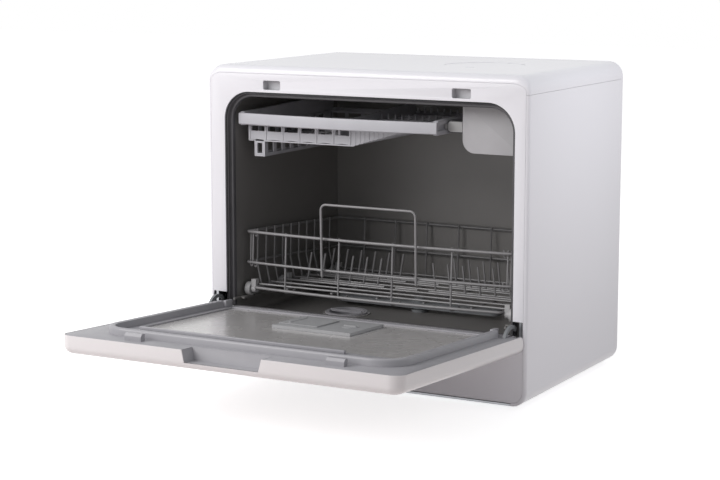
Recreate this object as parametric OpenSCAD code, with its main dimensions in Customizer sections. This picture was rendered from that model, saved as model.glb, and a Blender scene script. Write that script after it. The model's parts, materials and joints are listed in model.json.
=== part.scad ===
// Countertop dishwasher with a drop-down door, a wheeled lower rack and a
// sliding cutlery tray. X runs to the right, Y to the back, Z up. The origin
// lies on the standing surface, below the middle of the door's hinge axis.
// Drawn with the door open on its stop and both racks pushed in.

/* [Cabinet] */
// Width over the side panels
cabinet_w = 550; // [530:1:570]
// Height from the standing surface to the top cover
cabinet_h = 494; // [488:1:510]
// Depth from the fascia to the back panel
cabinet_d = 372; // [368:1:400]
// Clearance under the base
foot_h = 4; // [3:0.5:8]
// Rounding of the four long edges
edge_r = 24; // [18:1:28]
// Rounding of the top cover's front edge
brow_r = 12; // [8:1:14]
// Rounding of the side panels' front edges
cheek_r = 5; // [3:0.5:6]
// Thickness of covers and panels
panel_t = 2; // [1.5:0.1:2.5]
// Height of the seam between top cover and side panels
seam_z = 466; // [462:1:468]

/* [Tub] */
// Sideways offset of the tub and its opening
tub_shift = 4; // [0:0.5:5]
// Width of the opening in the fascia
mouth_w = 498; // [490:1:498]
// Height of the opening's lower edge
mouth_z0 = 106; // [104:1:108]
// Height of the opening's upper edge
mouth_z1 = 453; // [450:1:455]
// Rounding of the opening's upper corners
mouth_r = 44; // [30:1:50]
// Inner width of the tub
tub_w = 480; // [476:1:482]
// Height of the tub floor
tub_z0 = 92; // [90:1:94]
// Height of the tub ceiling
tub_z1 = 447; // [445:1:449]
// Depth of the tub's rear wall behind the fascia
tub_y1 = 345; // [340:1:350]

/* [Door] */
// Width of the door
door_w = 546; // [540:1:548]
// Height of the closed door's upper edge
door_z1 = 487.5; // [484:0.5:490]
// Thickness of the door
door_t = 27; // [24:1:30]
// Angle through which the door opens
door_open = 87; // [85:1:90]
// Height of the hinge axis
hinge_z = 103; // [102:0.5:104]
// Distance of the hinge axis in front of the fascia
hinge_out = 12; // [11:0.5:13]
// Height of the liner's rim, on which the rack's wheels roll
rim_h = 10.7; // [9:0.1:11]
// Width of the handle cut-out
grip_w = 128; // [100:1:140]

/* [Lower rack] */
// Width of the rack over its top wires
rack_w = 470; // [450:1:472]
// Depth of the rack
rack_d = 300; // [280:1:302]
// Height of the top wire above the rails
rack_h = 115; // [100:1:120]
// Forward bow of the front wires
rack_bow = 18; // [10:1:20]
// Radius of a wheel
wheel_r = 11; // [10:0.5:12]
// Thickness of the frame wires
wire_d = 4.6; // [4:0.2:5.4]

/* [Cutlery tray] */
// Left edge of the tray
tray_x0 = -229; // [-230:1:-226]
// Right edge of the tray
tray_x1 = 118; // [114:1:126]
// Depth of the tray
tray_d = 290; // [270:1:292]
// Height of the front bar's lower edge
tray_z0 = 400; // [398:1:402]
// Height of the front bar's upper edge
tray_z1 = 418; // [414:1:420]
// Forward bow of the front bar
tray_bow = 12; // [6:1:12]

/* [Hidden] */
$fn = 48;

gap = 0.4;                              // seam between fixed covers
hinge_y = -hinge_out;
door_y1 = -1.2;                         // door's inner plane when closed
door_y0 = door_y1 - door_t;
hinge_r = door_y1 - hinge_y;            // rounding of the door's lower inner edge
door_z0 = hinge_z - hinge_r;
tilt = 90 - door_open;                  // slope of the open door and of the rails
rail_z = hinge_z + hinge_r / cos(tilt) + hinge_y * tan(tilt);
bezel_x = cabinet_w / 2 - cheek_r + gap;
bezel_z1 = cabinet_h - brow_r + gap;
kick_z1 = 90;
half_m = mouth_w / 2;
half_t = tub_w / 2;
tub_t = 1.2;
seal_y = 10.5;                          // front of the seal's sealing face
tub_y0 = 17;
hub_y = 190;                            // spray arms' axis
filter_x = -92; filter_y = 118; filter_r = 38;
lid_x = 118; lid_y = 185; lid_r = 62;
pocket_x = 162.3; pocket_w = 31; pocket_z = 457; pocket_h = 14.6; pocket_deep = 13;
arm_x = 255.3; arm_t = 4; arm_r0 = 21.5; arm_r1 = 27; bracket_x = 264; bracket_t = 4;
lug_r = 6.5; boss_r = 7.5;              // rounded ends of bracket and arm round the hinge pin
notch_x0 = 251; notch_x1 = 269; notch_z0 = 92; notch_z1 = 133;
pin_r = 3; run = 0.06;                  // hinge pin and its running clearance
rim_out = 242; rim_in = 228; rim_z1 = 445; rim_y = door_y1 + rim_h; rim_wall = 10;
rib_x0 = -206; rib_x1 = 134; rib_z = 380;
rack_y0 = 32; rack_y1 = rack_y0 + rack_d;
wire_r = wire_d / 2; thin_r = 1.6; weld = 0.05;
wheel_x = 231.4; wheel_w = 9; wheel_h = rim_h + 0.3 + wheel_r; axle_r = 2.5;
wheel_ys = [rack_y0 + 10, rack_y0 + 114, rack_y1 - 16];
tray_y0 = 16; tray_y1 = tray_y0 + tray_d;
duct_x0 = 145; duct_z0 = 371; duct_y0 = 50; duct_y1 = 200;
dish_x0 = -70; dish_x1 = 62; dish_z0 = 136; dish_z1 = 240;
strip_x0 = 96; strip_x1 = 246; strip_z0 = 436; strip_z1 = 470;
white = "#e6e6ec"; pale = "#b2b3b8"; mid = "#8f9095"; dark = "#38383c"; steel = "#a9a39c";

// ---- shared forms ----

// Sub-parts are drawn from the fascia's plane and set down with the hinge above the origin
module placed() translate([0, hinge_out, 0]) children();

// Rectangle with a radius for each corner: low left, low right, high right, high left
module soft_box(x0, y0, x1, y1, r) {
  difference() {
    translate([x0, y0]) square([x1 - x0, y1 - y0]);
    if (r[0] > 0) translate([x0, y0]) square(r[0]);
    if (r[1] > 0) translate([x1 - r[1], y0]) square(r[1]);
    if (r[2] > 0) translate([x1 - r[2], y1 - r[2]]) square(r[2]);
    if (r[3] > 0) translate([x0, y1 - r[3]]) square(r[3]);
  }
  if (r[0] > 0) translate([x0 + r[0], y0 + r[0]]) circle(r[0]);
  if (r[1] > 0) translate([x1 - r[1], y0 + r[1]]) circle(r[1]);
  if (r[2] > 0) translate([x1 - r[2], y1 - r[2]]) circle(r[2]);
  if (r[3] > 0) translate([x0 + r[3], y1 - r[3]]) circle(r[3]);
}

// Extrusions of a flat outline: XZ along Y, YZ along X, XY along Z
module along_y(y0, y1) translate([0, y1, 0]) rotate([90, 0, 0]) linear_extrude(y1 - y0) children();
module along_x(x0, x1) translate([x0, 0, 0]) rotate([90, 0, 90]) linear_extrude(x1 - x0) children();
module along_z(z0, z1) translate([0, 0, z0]) linear_extrude(z1 - z0) children();
module block(a, b) translate(a) cube(b - a);
module rod_x(x0, x1, y, z, r) translate([x0, y, z]) rotate([0, 90, 0]) cylinder(h = x1 - x0, r = r);
module rod_y(y0, y1, x, z, r) translate([x, y0, z]) rotate([-90, 0, 0]) cylinder(h = y1 - y0, r = r);
module rod_z(z0, z1, x, y, r) translate([x, y, z0]) cylinder(h = z1 - z0, r = r);
module at_tub() translate([tub_shift, 0, 0]) children();
module both_sides() { children(); mirror([1, 0, 0]) children(); }

// Door parts are drawn closed and turned about the hinge to where the stop holds the door
module on_door() {
  translate([0, hinge_y, hinge_z]) rotate([door_open, 0, 0])
    translate([0, -hinge_y, -hinge_z]) children();
}

// The rails fall towards the back at the open door's slope: Y along them, Z above them
module on_rails() translate([tub_shift, 0, rail_z]) rotate([-tilt, 0, 0]) children();

// ---- cabinet ----

// Solid outer form of the cabinet, drawn in by e all round but at the back
module cabinet_form(e, back) {
  x = cabinet_w / 2 - e;
  intersection() {
    along_y(e, back) soft_box(-x, foot_h + e, x, cabinet_h - e, [for (i = [0:3]) edge_r - e]);
    along_x(-x, x) soft_box(e, foot_h + e, back, cabinet_h - e, [cheek_r - e, 0, 0, brow_r - e]);
    along_z(foot_h + e, cabinet_h - e) soft_box(-x, e, x, back, [cheek_r - e, cheek_r - e, 0, 0]);
  }
}

// Outline of the front frame and kick panel together
module bezel_outline(e) {
  r = edge_r - cheek_r - e;
  soft_box(-bezel_x + e, foot_h + cheek_r - gap + e, bezel_x - e, bezel_z1 - e, [r, r, r, r]);
}

module cabinet_shell() {
  difference() {
    cabinet_form(0, cabinet_d);
    cabinet_form(panel_t, cabinet_d + 1);
    along_y(-1, 20) bezel_outline(0);
  }
}

base_x = cabinet_w / 2 - edge_r;

// Cover with a dished seat round the filler lid
module top_cover() {
  color(white) {
    difference() {
      union() {
        intersection() {
          cabinet_shell();
          block([-cabinet_w, -1, seam_z + gap / 2], [cabinet_w, cabinet_d + 1, cabinet_h + 1]);
        }
        rod_z(cabinet_h - 9, cabinet_h - panel_t + 0.5, lid_x, lid_y, lid_r + 4);
      }
      rod_z(cabinet_h - 7, cabinet_h + 1, lid_x, lid_y, lid_r + 0.6);
      rod_z(cabinet_h - 10, cabinet_h, lid_x, lid_y, lid_r - 14);
      block([lid_x - lug_x1 - 0.4, lid_pin_y - 2, cabinet_h - 3],
            [lid_x + lug_x1 + 0.4, lid_y + lid_r + 0.7, cabinet_h + 1]);
    }
    lid_lugs();
  }
}

module side_panel() {
  color(white) intersection() {
    cabinet_shell();
    block([-cabinet_w, -1, foot_h - 1], [-base_x, cabinet_d + 1, seam_z - gap / 2]);
  }
}
module left_side_panel() side_panel();
module right_side_panel() mirror([1, 0, 0]) side_panel();

module mouth_outline(e) {
  soft_box(tub_shift - half_m + e, mouth_z0 + e, tub_shift + half_m - e, mouth_z1 - e,
           [3, 3, mouth_r - e, mouth_r - e]);
}

module notch_cut() {
  both_sides() block([notch_x0, -1, notch_z0], [notch_x1, 5, notch_z1]);
  block([-notch_x1, -1, mouth_z0], [tub_shift - half_m + 1, 5, notch_z1]);
}

module front_frame() {
  color(white) difference() {
    along_y(0, 2.5) intersection() {
      bezel_outline(gap);
      translate([-bezel_x, kick_z1 + gap]) square([2 * bezel_x, bezel_z1]);
    }
    along_y(-1, 4) mouth_outline(0);
    notch_cut();
    at_tub() both_sides() along_y(-1, 4)
      soft_box(pocket_x - pocket_w / 2, pocket_z, pocket_x + pocket_w / 2, pocket_z + pocket_h,
               [2.5, 2.5, 2.5, 2.5]);
  }
}

module kick_panel() {
  color(white) along_y(0, 2.5) intersection() {
    bezel_outline(gap);
    translate([-bezel_x, 0]) square([2 * bezel_x, kick_z1]);
  }
}

module latch_pockets() {
  color(mid) at_tub() both_sides() difference() {
    along_y(2.6, pocket_deep + 1.5)
      soft_box(pocket_x - pocket_w / 2 - 1.5, pocket_z - 1.5, pocket_x + pocket_w / 2 + 1.5,
               pocket_z + pocket_h + 1.5, [3, 3, 3, 3]);
    along_y(1, pocket_deep)
      soft_box(pocket_x - pocket_w / 2, pocket_z, pocket_x + pocket_w / 2, pocket_z + pocket_h,
               [2.5, 2.5, 2.5, 2.5]);
  }
}

back_win = [-240, 26, -96, 96];          // window in the back panel: x0, z0, x1, z1
gland_x = 205; gland_z = 52;

module back_panel() {
  r = edge_r - panel_t - gap;
  x = cabinet_w / 2 - panel_t - gap;
  color(mid) difference() {
    along_y(cabinet_d - 2, cabinet_d)
      soft_box(-x, foot_h + panel_t + gap, x, cabinet_h - panel_t - gap, [r, r, r, r]);
    along_y(cabinet_d - 3, cabinet_d + 1)
      soft_box(back_win[0], back_win[1], back_win[2], back_win[3], [4, 4, 4, 4]);
    for (i = [0:11])
      block([90 + i * 11, cabinet_d - 3, 330], [95 + i * 11, cabinet_d + 1, 400]);
    rod_y(cabinet_d - 3, cabinet_d + 1, gland_x, gland_z, 9.1);
  }
}

foot_xs = [-215, 215]; foot_ys = [42, 330]; bar_z = foot_h + 6.1; board_z = 13.5;

module base_pan() {
  color("#77787c") difference() {
    union() {
      intersection() {
        cabinet_shell();
        block([-base_x + gap, -1, foot_h - 1], [base_x - gap, cabinet_d - 2 - gap, 30]);
      }
      for (y = [70, 300]) block([-base_x + 6, y, foot_h + 1], [base_x - 6, y + 10, foot_h + 6]);
      both_sides() block([base_x - 12, 20, foot_h + 1], [base_x - 9, cabinet_d - 20, foot_h + 14]);
    }
    for (x = foot_xs, y = foot_ys) rod_z(0, 30, x, y, 4.1);
  }
}

module feet() {
  color(dark) for (x = foot_xs, y = foot_ys) {
    rod_z(0, foot_h - 0.05, x, y, 14);
    rod_z(foot_h - 1, foot_h + 9, x, y, 4);
  }
}

module back_screws() {
  color(steel) for (p = [[-262, 120], [-262, 300], [262, 120], [262, 300], [-180, 482],
                         [180, 482], [-60, 16], [60, 16]]) {
    rod_y(cabinet_d + 0.05, cabinet_d + 1.6, p[0], p[1], 3.6);
  }
}

// ---- tub ----

low_r = 8; high_r = 20;                  // rounding of the tub's lower and upper corners

module tub_outline(e) {
  soft_box(-half_t - e, tub_z0 - e, half_t + e, tub_z1 + e,
           [low_r + e, low_r + e, high_r + e, high_r + e]);
}

// Rounded strip along one of the tub's long corners, between the sheets that it joins
module corner_strip(x, z, r, quarter) {
  along_y(tub_y0 + tub_t + weld, tub_y1 - weld) translate([x, z]) rotate(quarter) intersection() {
    difference() {
      circle(r + tub_t);
      circle(r);
    }
    square(2 * r);
  }
}

// Tub of separate sheets: walls, ceiling, floor round the filter, rear wall and front flange
module tub() {
  y0 = tub_y0 + tub_t + weld;
  y1 = tub_y1 - weld;
  well_x = filter_x - tub_shift;
  plate = filter_r + 2;                  // half the width of the plate round the filter
  floor_x = half_t - low_r - weld;
  color(steel) at_tub() {
    both_sides() {
      block([half_t, y0, tub_z0 + low_r + weld], [half_t + tub_t, y1, tub_z1 - high_r - weld]);
      corner_strip(half_t - low_r, tub_z0 + low_r, low_r, -90);
      corner_strip(half_t - high_r, tub_z1 - high_r, high_r, 0);
    }
    difference() {
      x = half_t - high_r - weld;
      block([-x, y0, tub_z1], [x, y1, tub_z1 + tub_t]);
      rod_z(tub_z1 - 1, tub_z1 + 5, 0, hub_y, 11);
    }
    along_y(tub_y1, tub_y1 + tub_t) tub_outline(tub_t);
    floor_sheet(-floor_x, y0, floor_x, filter_y - plate - weld);
    floor_sheet(-floor_x, filter_y - plate, well_x - plate - weld, filter_y + plate);
    floor_sheet(well_x + plate + weld, filter_y - plate, floor_x, filter_y + plate);
    difference() {
      floor_sheet(well_x - plate, filter_y - plate, well_x + plate, filter_y + plate);
      rod_z(tub_z0 - 5, tub_z0 + 1, well_x, filter_y, filter_r + 0.6);
    }
    difference() {
      floor_sheet(-floor_x, filter_y + plate + weld, floor_x, y1);
      rod_z(tub_z0 - 5, tub_z0 + 1, 0, hub_y, 15);
    }
    flange_bar(-260, tub_z1, 260, 460);
    flange_bar(-260, 80, 260, 105);
    both_sides() flange_bar(half_t, 105 + weld, 260, tub_z1 - weld);
  }
}

module floor_sheet(x0, y0, x1, y1) block([x0, y0, tub_z0 - tub_t], [x1, y1, tub_z0]);

// Part of the flange behind the fascia, within the given window
module flange_bar(x0, z0, x1, z1) {
  along_y(tub_y0, tub_y0 + tub_t) intersection() {
    soft_box(-252, 84, 252, 459, [6, 6, 50, 50]);
    translate([x0, z0]) square([x1 - x0, z1 - z0]);
  }
}

// Sloping ledges on the tub's sides; their noses reach past the seal to the door's rim
module rack_rails() {
  color(steel) on_rails() both_sides() {
    block([rim_in, 19.5, rim_h - 3], [half_t - 0.4, 322, rim_h]);
    block([234.3, 1.2, rim_h - 3], [237.6, 20, rim_h]);
    block([half_t - 3.2, 40, rim_h - 8], [half_t - 0.4, 300, rim_h - 3.05]);
  }
}

module door_seal() {
  color(dark) difference() {
    along_y(2.6, tub_y0 - 0.1) mouth_outline(0.3);
    along_y(0, seal_y) mouth_outline(2.8);
    along_y(seal_y - 1, 20)
      soft_box(tub_shift - half_m + 9, mouth_z0 + 4, tub_shift + half_m - 9, mouth_z1 - 9,
               [2, 2, mouth_r - 9, mouth_r - 9]);
    block([-half_m + 10, 0, mouth_z0 - 1], [half_m - 2, 12.5, mouth_z0 + 3.1]);
  }
}

// Housing of the drying-air outlet in the tub's upper right corner
module air_duct_cover() {
  x1 = tub_shift + half_t - 0.4;
  color(pale) difference() {
    along_y(duct_y0, duct_y1) soft_box(duct_x0, duct_z0, x1, tub_z1 - 0.4, [20, 0, 19, 0]);
    along_y(duct_y0 + 2.5, duct_y1 + 1)
      soft_box(duct_x0 + 2.5, duct_z0 + 2.5, x1 - 2.5, tub_z1 - 2.9, [17.5, 0, 17, 0]);
    for (i = [0:5]) block([170 + i * 11, 90, duct_z0 - 1], [176 + i * 11, 170, duct_z0 + 4]);
  }
}

groove_z0 = 404.5; groove_z1 = 413.5; tongue_ys = [duct_y0 + 2, duct_y0 + 68];

// Slides fixed to the duct cover and the left tub wall; their tongues run in the tray's rails
module tray_guides() {
  left_x = tub_shift - half_t + 0.1;
  color(pale) {
    along_y(duct_y0, duct_y0 + 24) soft_box(tray_x1 + 1, 400.5, duct_x0 - 0.1, 418.5, [6, 0, 0, 6]);
    for (y = tongue_ys) {
      block([tray_x1 - 3.5, y, groove_z0 + 0.5], [tray_x1 + 3, y + 20, groove_z1 - 0.5]);
      block([left_x + 1, y, groove_z0 + 0.5], [tray_x0 + 3.5, y + 20, groove_z1 - 0.5]);
    }
    block([tray_x1 + 2, tongue_ys[1], groove_z0 + 0.5], [duct_x0 - 0.1, tongue_ys[1] + 20, groove_z1 - 0.5]);
    block([left_x, tongue_ys[0], groove_z0 - 2], [tray_x0 - 0.8, tongue_ys[1] + 22, groove_z1 + 2]);
  }
}

// ---- hinges ----

module hinge_bracket() {
  plate_z0 = 84;
  plate_z1 = 150;
  pin_x1 = bracket_x + bracket_t / 2 + 1.5;
  color("#8d8e92") {
    along_x(bracket_x - bracket_t / 2, bracket_x + bracket_t / 2) {
      translate([hinge_y, hinge_z]) circle(lug_r);
      translate([hinge_y, hinge_z - lug_r + 0.5]) square([16, 2 * lug_r - 1]);
      translate([3.2, plate_z0]) square([34, plate_z1 - plate_z0]);
    }
    for (z = [[plate_z0, plate_z0 + 6], [plate_z1 - 14, plate_z1]])
      block([bracket_x - 6, 3, z[0]], [bracket_x + bracket_t / 2, 6, z[1]]);
    rod_x(arm_x - arm_t / 2 - 2, pin_x1, hinge_y, hinge_z, pin_r);
    rod_x(bracket_x + 1, pin_x1, hinge_y, hinge_z, 5);
  }
}

// Torsion springs on the hinge pins, between bracket and door arm
module hinge_springs() {
  color(steel) both_sides() for (i = [0:2])
    translate([arm_x + arm_t / 2 + 0.6 + i * 1.2, hinge_y, hinge_z]) rotate([0, 90, 0]) difference() {
      cylinder(h = 1, r = 5.4);
      translate([0, 0, -1]) cylinder(h = 3, r = pin_r + 0.3);
    }
}

module hinge_bracket_right() hinge_bracket();
module hinge_bracket_left() mirror([1, 0, 0]) hinge_bracket();

// Plate inside the door with a curved stay that runs through the notch as the door turns
module door_arms() {
  color("#8d8e92") on_door() both_sides() difference() {
    along_x(arm_x - arm_t / 2, arm_x + arm_t / 2) {
      translate([hinge_y, hinge_z]) circle(boss_r);
      translate([hinge_y - boss_r, hinge_z]) square([boss_r + 2, 60]);
      translate([hinge_y, hinge_z]) difference() {
        circle(arm_r1);
        circle(arm_r0);
        for (a = [95, 180, 228]) rotate(a) square(2 * arm_r1);
      }
    }
    rod_x(arm_x - 10, arm_x + 10, hinge_y, hinge_z, pin_r + run);
  }
}

// ---- door ----

// Solid form of the closed door, drawn in by e all round
module door_form(e, y1) {
  x = door_w / 2 - e;
  intersection() {
    along_y(door_y0 + e, y1) soft_box(-x, door_z0 + e, x, door_z1 - e, [6, 6, 20 - e, 20 - e]);
    along_x(-x, x) soft_box(door_y0 + e, door_z0 + e, y1, door_z1 - e,
                            [12 - e, hinge_r - e, 0.6, 12 - e]);
    along_z(door_z0 + e, door_z1 - e) soft_box(-x, door_y0 + e, x, y1, [12 - e, 12 - e, 0.6, 0.6]);
  }
}

grip_z0 = door_z1 - 27; grip_lip = 9; grip_slant = 4.5;
liner_z0 = door_z0 + 7;                  // keeps the liner's edge behind the fascia as it swings

// Slots for the hinge lugs and arms at the door's lower corners
module hinge_slots() {
  both_sides() {
    block([bracket_x - 3.5, hinge_y - 8, door_z0 - 1], [bracket_x + 5, 5, hinge_z + 8.5]);
    block([arm_x - 2.5, hinge_y - 8, door_z0 - 1], [arm_x + 2.5, 5, hinge_z + 28.5]);
  }
}

module door_skin() {
  color(white) on_door() difference() {
    door_form(0, door_y1);
    difference() {
      door_form(2.2, door_y1 + 1);
      block([-grip_w / 2 - 14, door_y0, grip_z0 - 1], [grip_w / 2 + 14, door_y1 + 2, door_z1]);
      block([-door_w / 2, door_y1 - 3, door_z0], [door_w / 2, door_y1 + 2, liner_z0 - weld]);
    }
    grip_cut();
    block([strip_x0 - 0.3, door_y0 - 1, strip_z0 - 0.3], [strip_x1 + 0.3, door_y0 + 3, strip_z1 + 0.3]);
    hinge_slots();
  }
}

// Cut-out for the fingers in the upper edge; its ends draw in towards the outer face
module grip_cut() {
  x = grip_w / 2;
  along_z(grip_z0, door_z1 + 3) polygon([[-x + grip_slant, door_y0 + grip_lip],
    [x - grip_slant, door_y0 + grip_lip], [x, door_y1], [x, 5], [-x, 5], [-x, door_y1]]);
}

module liner_outline(e) {
  x = door_w / 2 - 2.4 - e;
  soft_box(-x, liner_z0 + e, x, door_z1 - 2.4 - e, [4, 4, 17.5 - e, 17.5 - e]);
}

panel_x = rim_in - 6; panel_z0 = 116; panel_z1 = 372;

module door_liner() {
  color(pale) on_door() difference() {
    along_y(door_y1 - 2.2, door_y1) liner_outline(0);
    along_y(-10, 5) intersection() {
      translate([-grip_w / 2 - 15, grip_z0 - 2]) square([grip_w + 30, 60]);
      liner_outline(-5);
    }
    at_tub() along_y(-10, 5) soft_box(-panel_x, panel_z0, panel_x, panel_z1, [4, 4, 20, 20]);
    hinge_slots();
  }
}

// U-shaped rim that enters the opening; its sides are the wheels' tracks on the door
module liner_rim() {
  y0 = door_y1 + 0.05;
  color(pale) on_door() at_tub() {
    both_sides() {
      block([rim_in, y0, 107], [233.8, rim_y, 126.5]);
      block([rim_in, y0, 126.55], [rim_out, rim_y, rim_z1 - mouth_r - 0.05]);
      translate([rim_out - mouth_r, 0, rim_z1 - mouth_r]) rotate([90, 0, 0])
        translate([0, 0, -rim_y]) rotate_extrude(angle = 90)
          translate([mouth_r - rim_wall, 0]) square([rim_wall, rim_h - 0.05]);
    }
    x = rim_out - mouth_r - 0.05;
    block([-x, y0, rim_z1 - rim_wall], [x, rim_y, rim_z1]);
  }
  color(pale) on_door() block([rib_x0, y0, rib_z], [rib_x1, door_y1 + 5, rib_z + 6]);
}

// Bright steel sheet that forms the inner face of the door
module liner_panel() {
  color(steel) on_door() difference() {
    at_tub() along_y(door_y1 - 3.4, door_y1 - 2.3)
      soft_box(-panel_x - 4, panel_z0 - 4, panel_x + 4, panel_z1 + 4, [6, 6, 22, 22]);
    block([dish_x0 - 0.5, -20, dish_z0 - 0.5], [dish_x1 + 0.5, 5, dish_z1 + 0.5]);
  }
}

module latch_tabs() {
  color(pale) on_door() at_tub() both_sides() {
    along_x(pocket_x - 14, pocket_x + 14)
      polygon([[door_y1 + 0.05, 459.5], [9, 459.5], [9, 466], [5, 469], [door_y1 + 0.05, 469]]);
  }
}

cup_x0 = dish_x0 + 6; cup_x1 = -4; cap_x = 34; cap_z = (dish_z0 + dish_z1) / 2;

module dispenser() {
  color("#c9cacd") on_door() difference() {
    union() {
      block([dish_x0, door_y1 - 2.2, dish_z0], [dish_x1, door_y1 + 2.6, dish_z1]);
      block([dish_x0 + 3, door_y1 - 20, dish_z0 + 3], [dish_x1 - 3, door_y1 - 2, dish_z1 - 3]);
    }
    block([cup_x0, door_y1 - 17, dish_z0 + 24], [cup_x1, 5, dish_z1 - 18]);
    rod_y(door_y1 - 12, 5, cap_x, cap_z, 13.06);
  }
}

// Lid slides across the detergent cup in its own plane
module dispenser_lid() {
  color(mid) on_door() {
    block([cup_x0 - 3, door_y1 + 2.9, dish_z0 + 21], [cup_x1 + 2, door_y1 + 4.6, dish_z1 - 15]);
    block([cup_x0 + 8, door_y1 + 4.5, dish_z0 + 30], [cup_x0 + 12, door_y1 + 5.6, dish_z1 - 24]);
  }
}

module rinse_cap() {
  color(mid) on_door() {
    rod_y(door_y1 - 11, door_y1 + 3.2, cap_x, cap_z, 13);
    block([cap_x - 10, door_y1 + 3, cap_z - 1.5], [cap_x + 10, door_y1 + 5.2, cap_z + 1.5]);
  }
}

power_x = strip_x0 + 16; start_x = strip_x1 - 16; button_r = 6; button_z = (strip_z0 + strip_z1) / 2;

module control_strip() {
  color(dark) on_door() difference() {
    union() {
      block([strip_x0, door_y0 - 0.2, strip_z0], [strip_x1, door_y0 + 4, strip_z1]);
      block([strip_x0 + 4, door_y0 + 3.9, strip_z0 + 2], [strip_x1 - 4, door_y0 + 12, strip_z1 - 2]);
    }
    for (x = [power_x, start_x]) rod_y(door_y0 - 2, door_y0 + 6, x, button_z, button_r + 0.06);
  }
}

module push_button(x) on_door() rod_y(door_y0 - 2, door_y0 + 3.5, x, button_z, button_r);
module power_button() color(mid) push_button(power_x);
module start_button() color(mid) push_button(start_x);

// ---- lower rack ----

half_r = rack_w / 2 - wire_r;
bow_r = (half_r * half_r + rack_bow * rack_bow) / (2 * rack_bow);
low_x = 216;                             // lower side wires, drawn in above the wheels
low_h = 26; mid_h = 66;
front_posts = [-157, -57, 37, 135]; post_h = low_h - 6; post_foot = 22;
corner_posts = [half_r - 10.2, half_r - 5];
side_posts = [58 : 26 : 292];
handle_x = 82; handle_h = 170; handle_foot = 57; handle_lean = 9; handle_r = 2; handle_bend = 9;

// Y of the bowed front wires at a given distance from the middle
function front_y(x) = rack_y0 - rack_bow + bow_r - sqrt(bow_r * bow_r - x * x);

// Shallow arc that bows towards the front, in four lengths a hair apart
module four_lengths(turn, sharp) {
  for (i = [-2 : 1]) rotate([0, 0, -90 + i * turn / 2 + sharp])
    rotate_extrude(angle = turn / 2 - 2 * sharp, $fn = 720) children();
}

// Front wire bowed forward between -half and half at height h
module bowed_wire(half, h, r) {
  translate([0, rack_y0 - rack_bow + bow_r, h])
    four_lengths(asin(half / bow_r), 0.001) translate([bow_r, 0]) circle(r, $fn = 24);
}

// Ring of wires round the rack: bowed front, straight sides and rear
module hoop(half, h, r) {
  bowed_wire(half - r - 0.5, h, r);
  both_sides() rod_y(front_y(half) - r, rack_y1 + r, half, h, r);
  rod_x(-half + r + weld, half - r - weld, rack_y1, h, r);
}

// Straight wire between two points, slightly thinner than the upright it is welded to
module slant_wire(a, b) {
  d = b - a;
  translate(a) rotate([0, acos(d[2] / norm(d)), atan2(d[1], d[0])])
    cylinder(h = norm(d), r = thin_r - 0.15);
}

module rack_frame() {
  in = wire_r + thin_r + weld;
  floor_h = low_h + in;                  // cross wires lie on the lower side wires
  color(mid) on_rails() {
    hoop(half_r, rack_h, wire_r);
    hoop(half_r, mid_h, wire_r - 0.3);
    hoop(low_x, low_h, wire_r);
    for (y = [rack_y0 + 14 : 38 : rack_y1]) rod_x(-low_x - 2.4, low_x + 2.4, y, floor_h, thin_r);
    for (x = [-162, -81, 0, 81, 162])
      rod_y(rack_y0 + 8, rack_y1 - in - thin_r - weld, x, floor_h - 2 * thin_r - weld, thin_r);
    // front posts, each with a foot that runs back under the cross wires
    for (x = front_posts) {
      y = front_y(x) + in + 0.3;
      rod_z(post_h, rack_h + 3, x, y, thin_r);
      rod_y(y + thin_r + weld, y + post_foot, x, post_h + thin_r, thin_r);
    }
    both_sides() {
      for (y = side_posts) {
        rod_z(mid_h - 7, rack_h + 3, half_r - in, y, thin_r);
        slant_wire([half_r - in, y, mid_h - 4], [low_x + in, y, low_h + 1]);
      }
      for (x = corner_posts) rod_z(mid_h - 4, rack_h + 3, x, front_y(x) + in + 0.3, thin_r);
    }
    for (x = [-180 : 60 : 180]) rod_z(low_h - 3, rack_h + 3, x, rack_y1 - in, thin_r);
    rack_handle();
  }
}

// Tall loop in front of the bowed wires, leaning slightly forward
module rack_handle() {
  rise = handle_h - handle_foot;
  bend = handle_bend;
  translate([0, front_y(handle_x) - wire_r - handle_r - 0.4, handle_foot])
    rotate([atan(handle_lean / rise), 0, 0]) {
      both_sides() {
        rod_z(0, rise - bend - weld, handle_x, 0, handle_r);
        translate([handle_x - bend, 0, rise - bend]) rotate([90, 0, 0])
          rotate_extrude(angle = 90, $fn = 24) translate([bend, 0]) circle(handle_r);
      }
      rod_x(-handle_x + bend + weld, handle_x - bend - weld, 0, rise, handle_r);
    }
}

tine_ys = [141, 217]; tine_h = 44; tine_lean = 8;

module rack_tines() {
  base_h = low_h + wire_r + thin_r + weld;
  color(mid) on_rails() {
    for (row = [[-196, -40], [-20, 20], [40, 196]]) for (y = tine_ys)
      rod_x(row[0], row[1], y, base_h, thin_r);
    for (side = [-1, 1]) for (i = [0:5]) for (y = tine_ys)
      translate([side * (52 + i * 26), y, base_h + thin_r + weld]) rotate([0, -side * tine_lean, 0])
        cylinder(h = tine_h, r = thin_r);
  }
}

module wheel_clips() {
  color(mid) on_rails() both_sides() for (y = wheel_ys) {
    along_x(low_x + wire_r + 0.1, wheel_x - wheel_w / 2 - 0.3) {
      translate([y, wheel_h]) circle(6);
      translate([y - 5, wheel_h]) square([10, low_h - wheel_h + 12]);
    }
    rod_x(low_x + wire_r + 1, wheel_x + wheel_w / 2 + 1.2, y, wheel_h, axle_r);
    rod_x(wheel_x + wheel_w / 2 + 0.3, wheel_x + wheel_w / 2 + 1.3, y, wheel_h, 3.8);
  }
}

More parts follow.
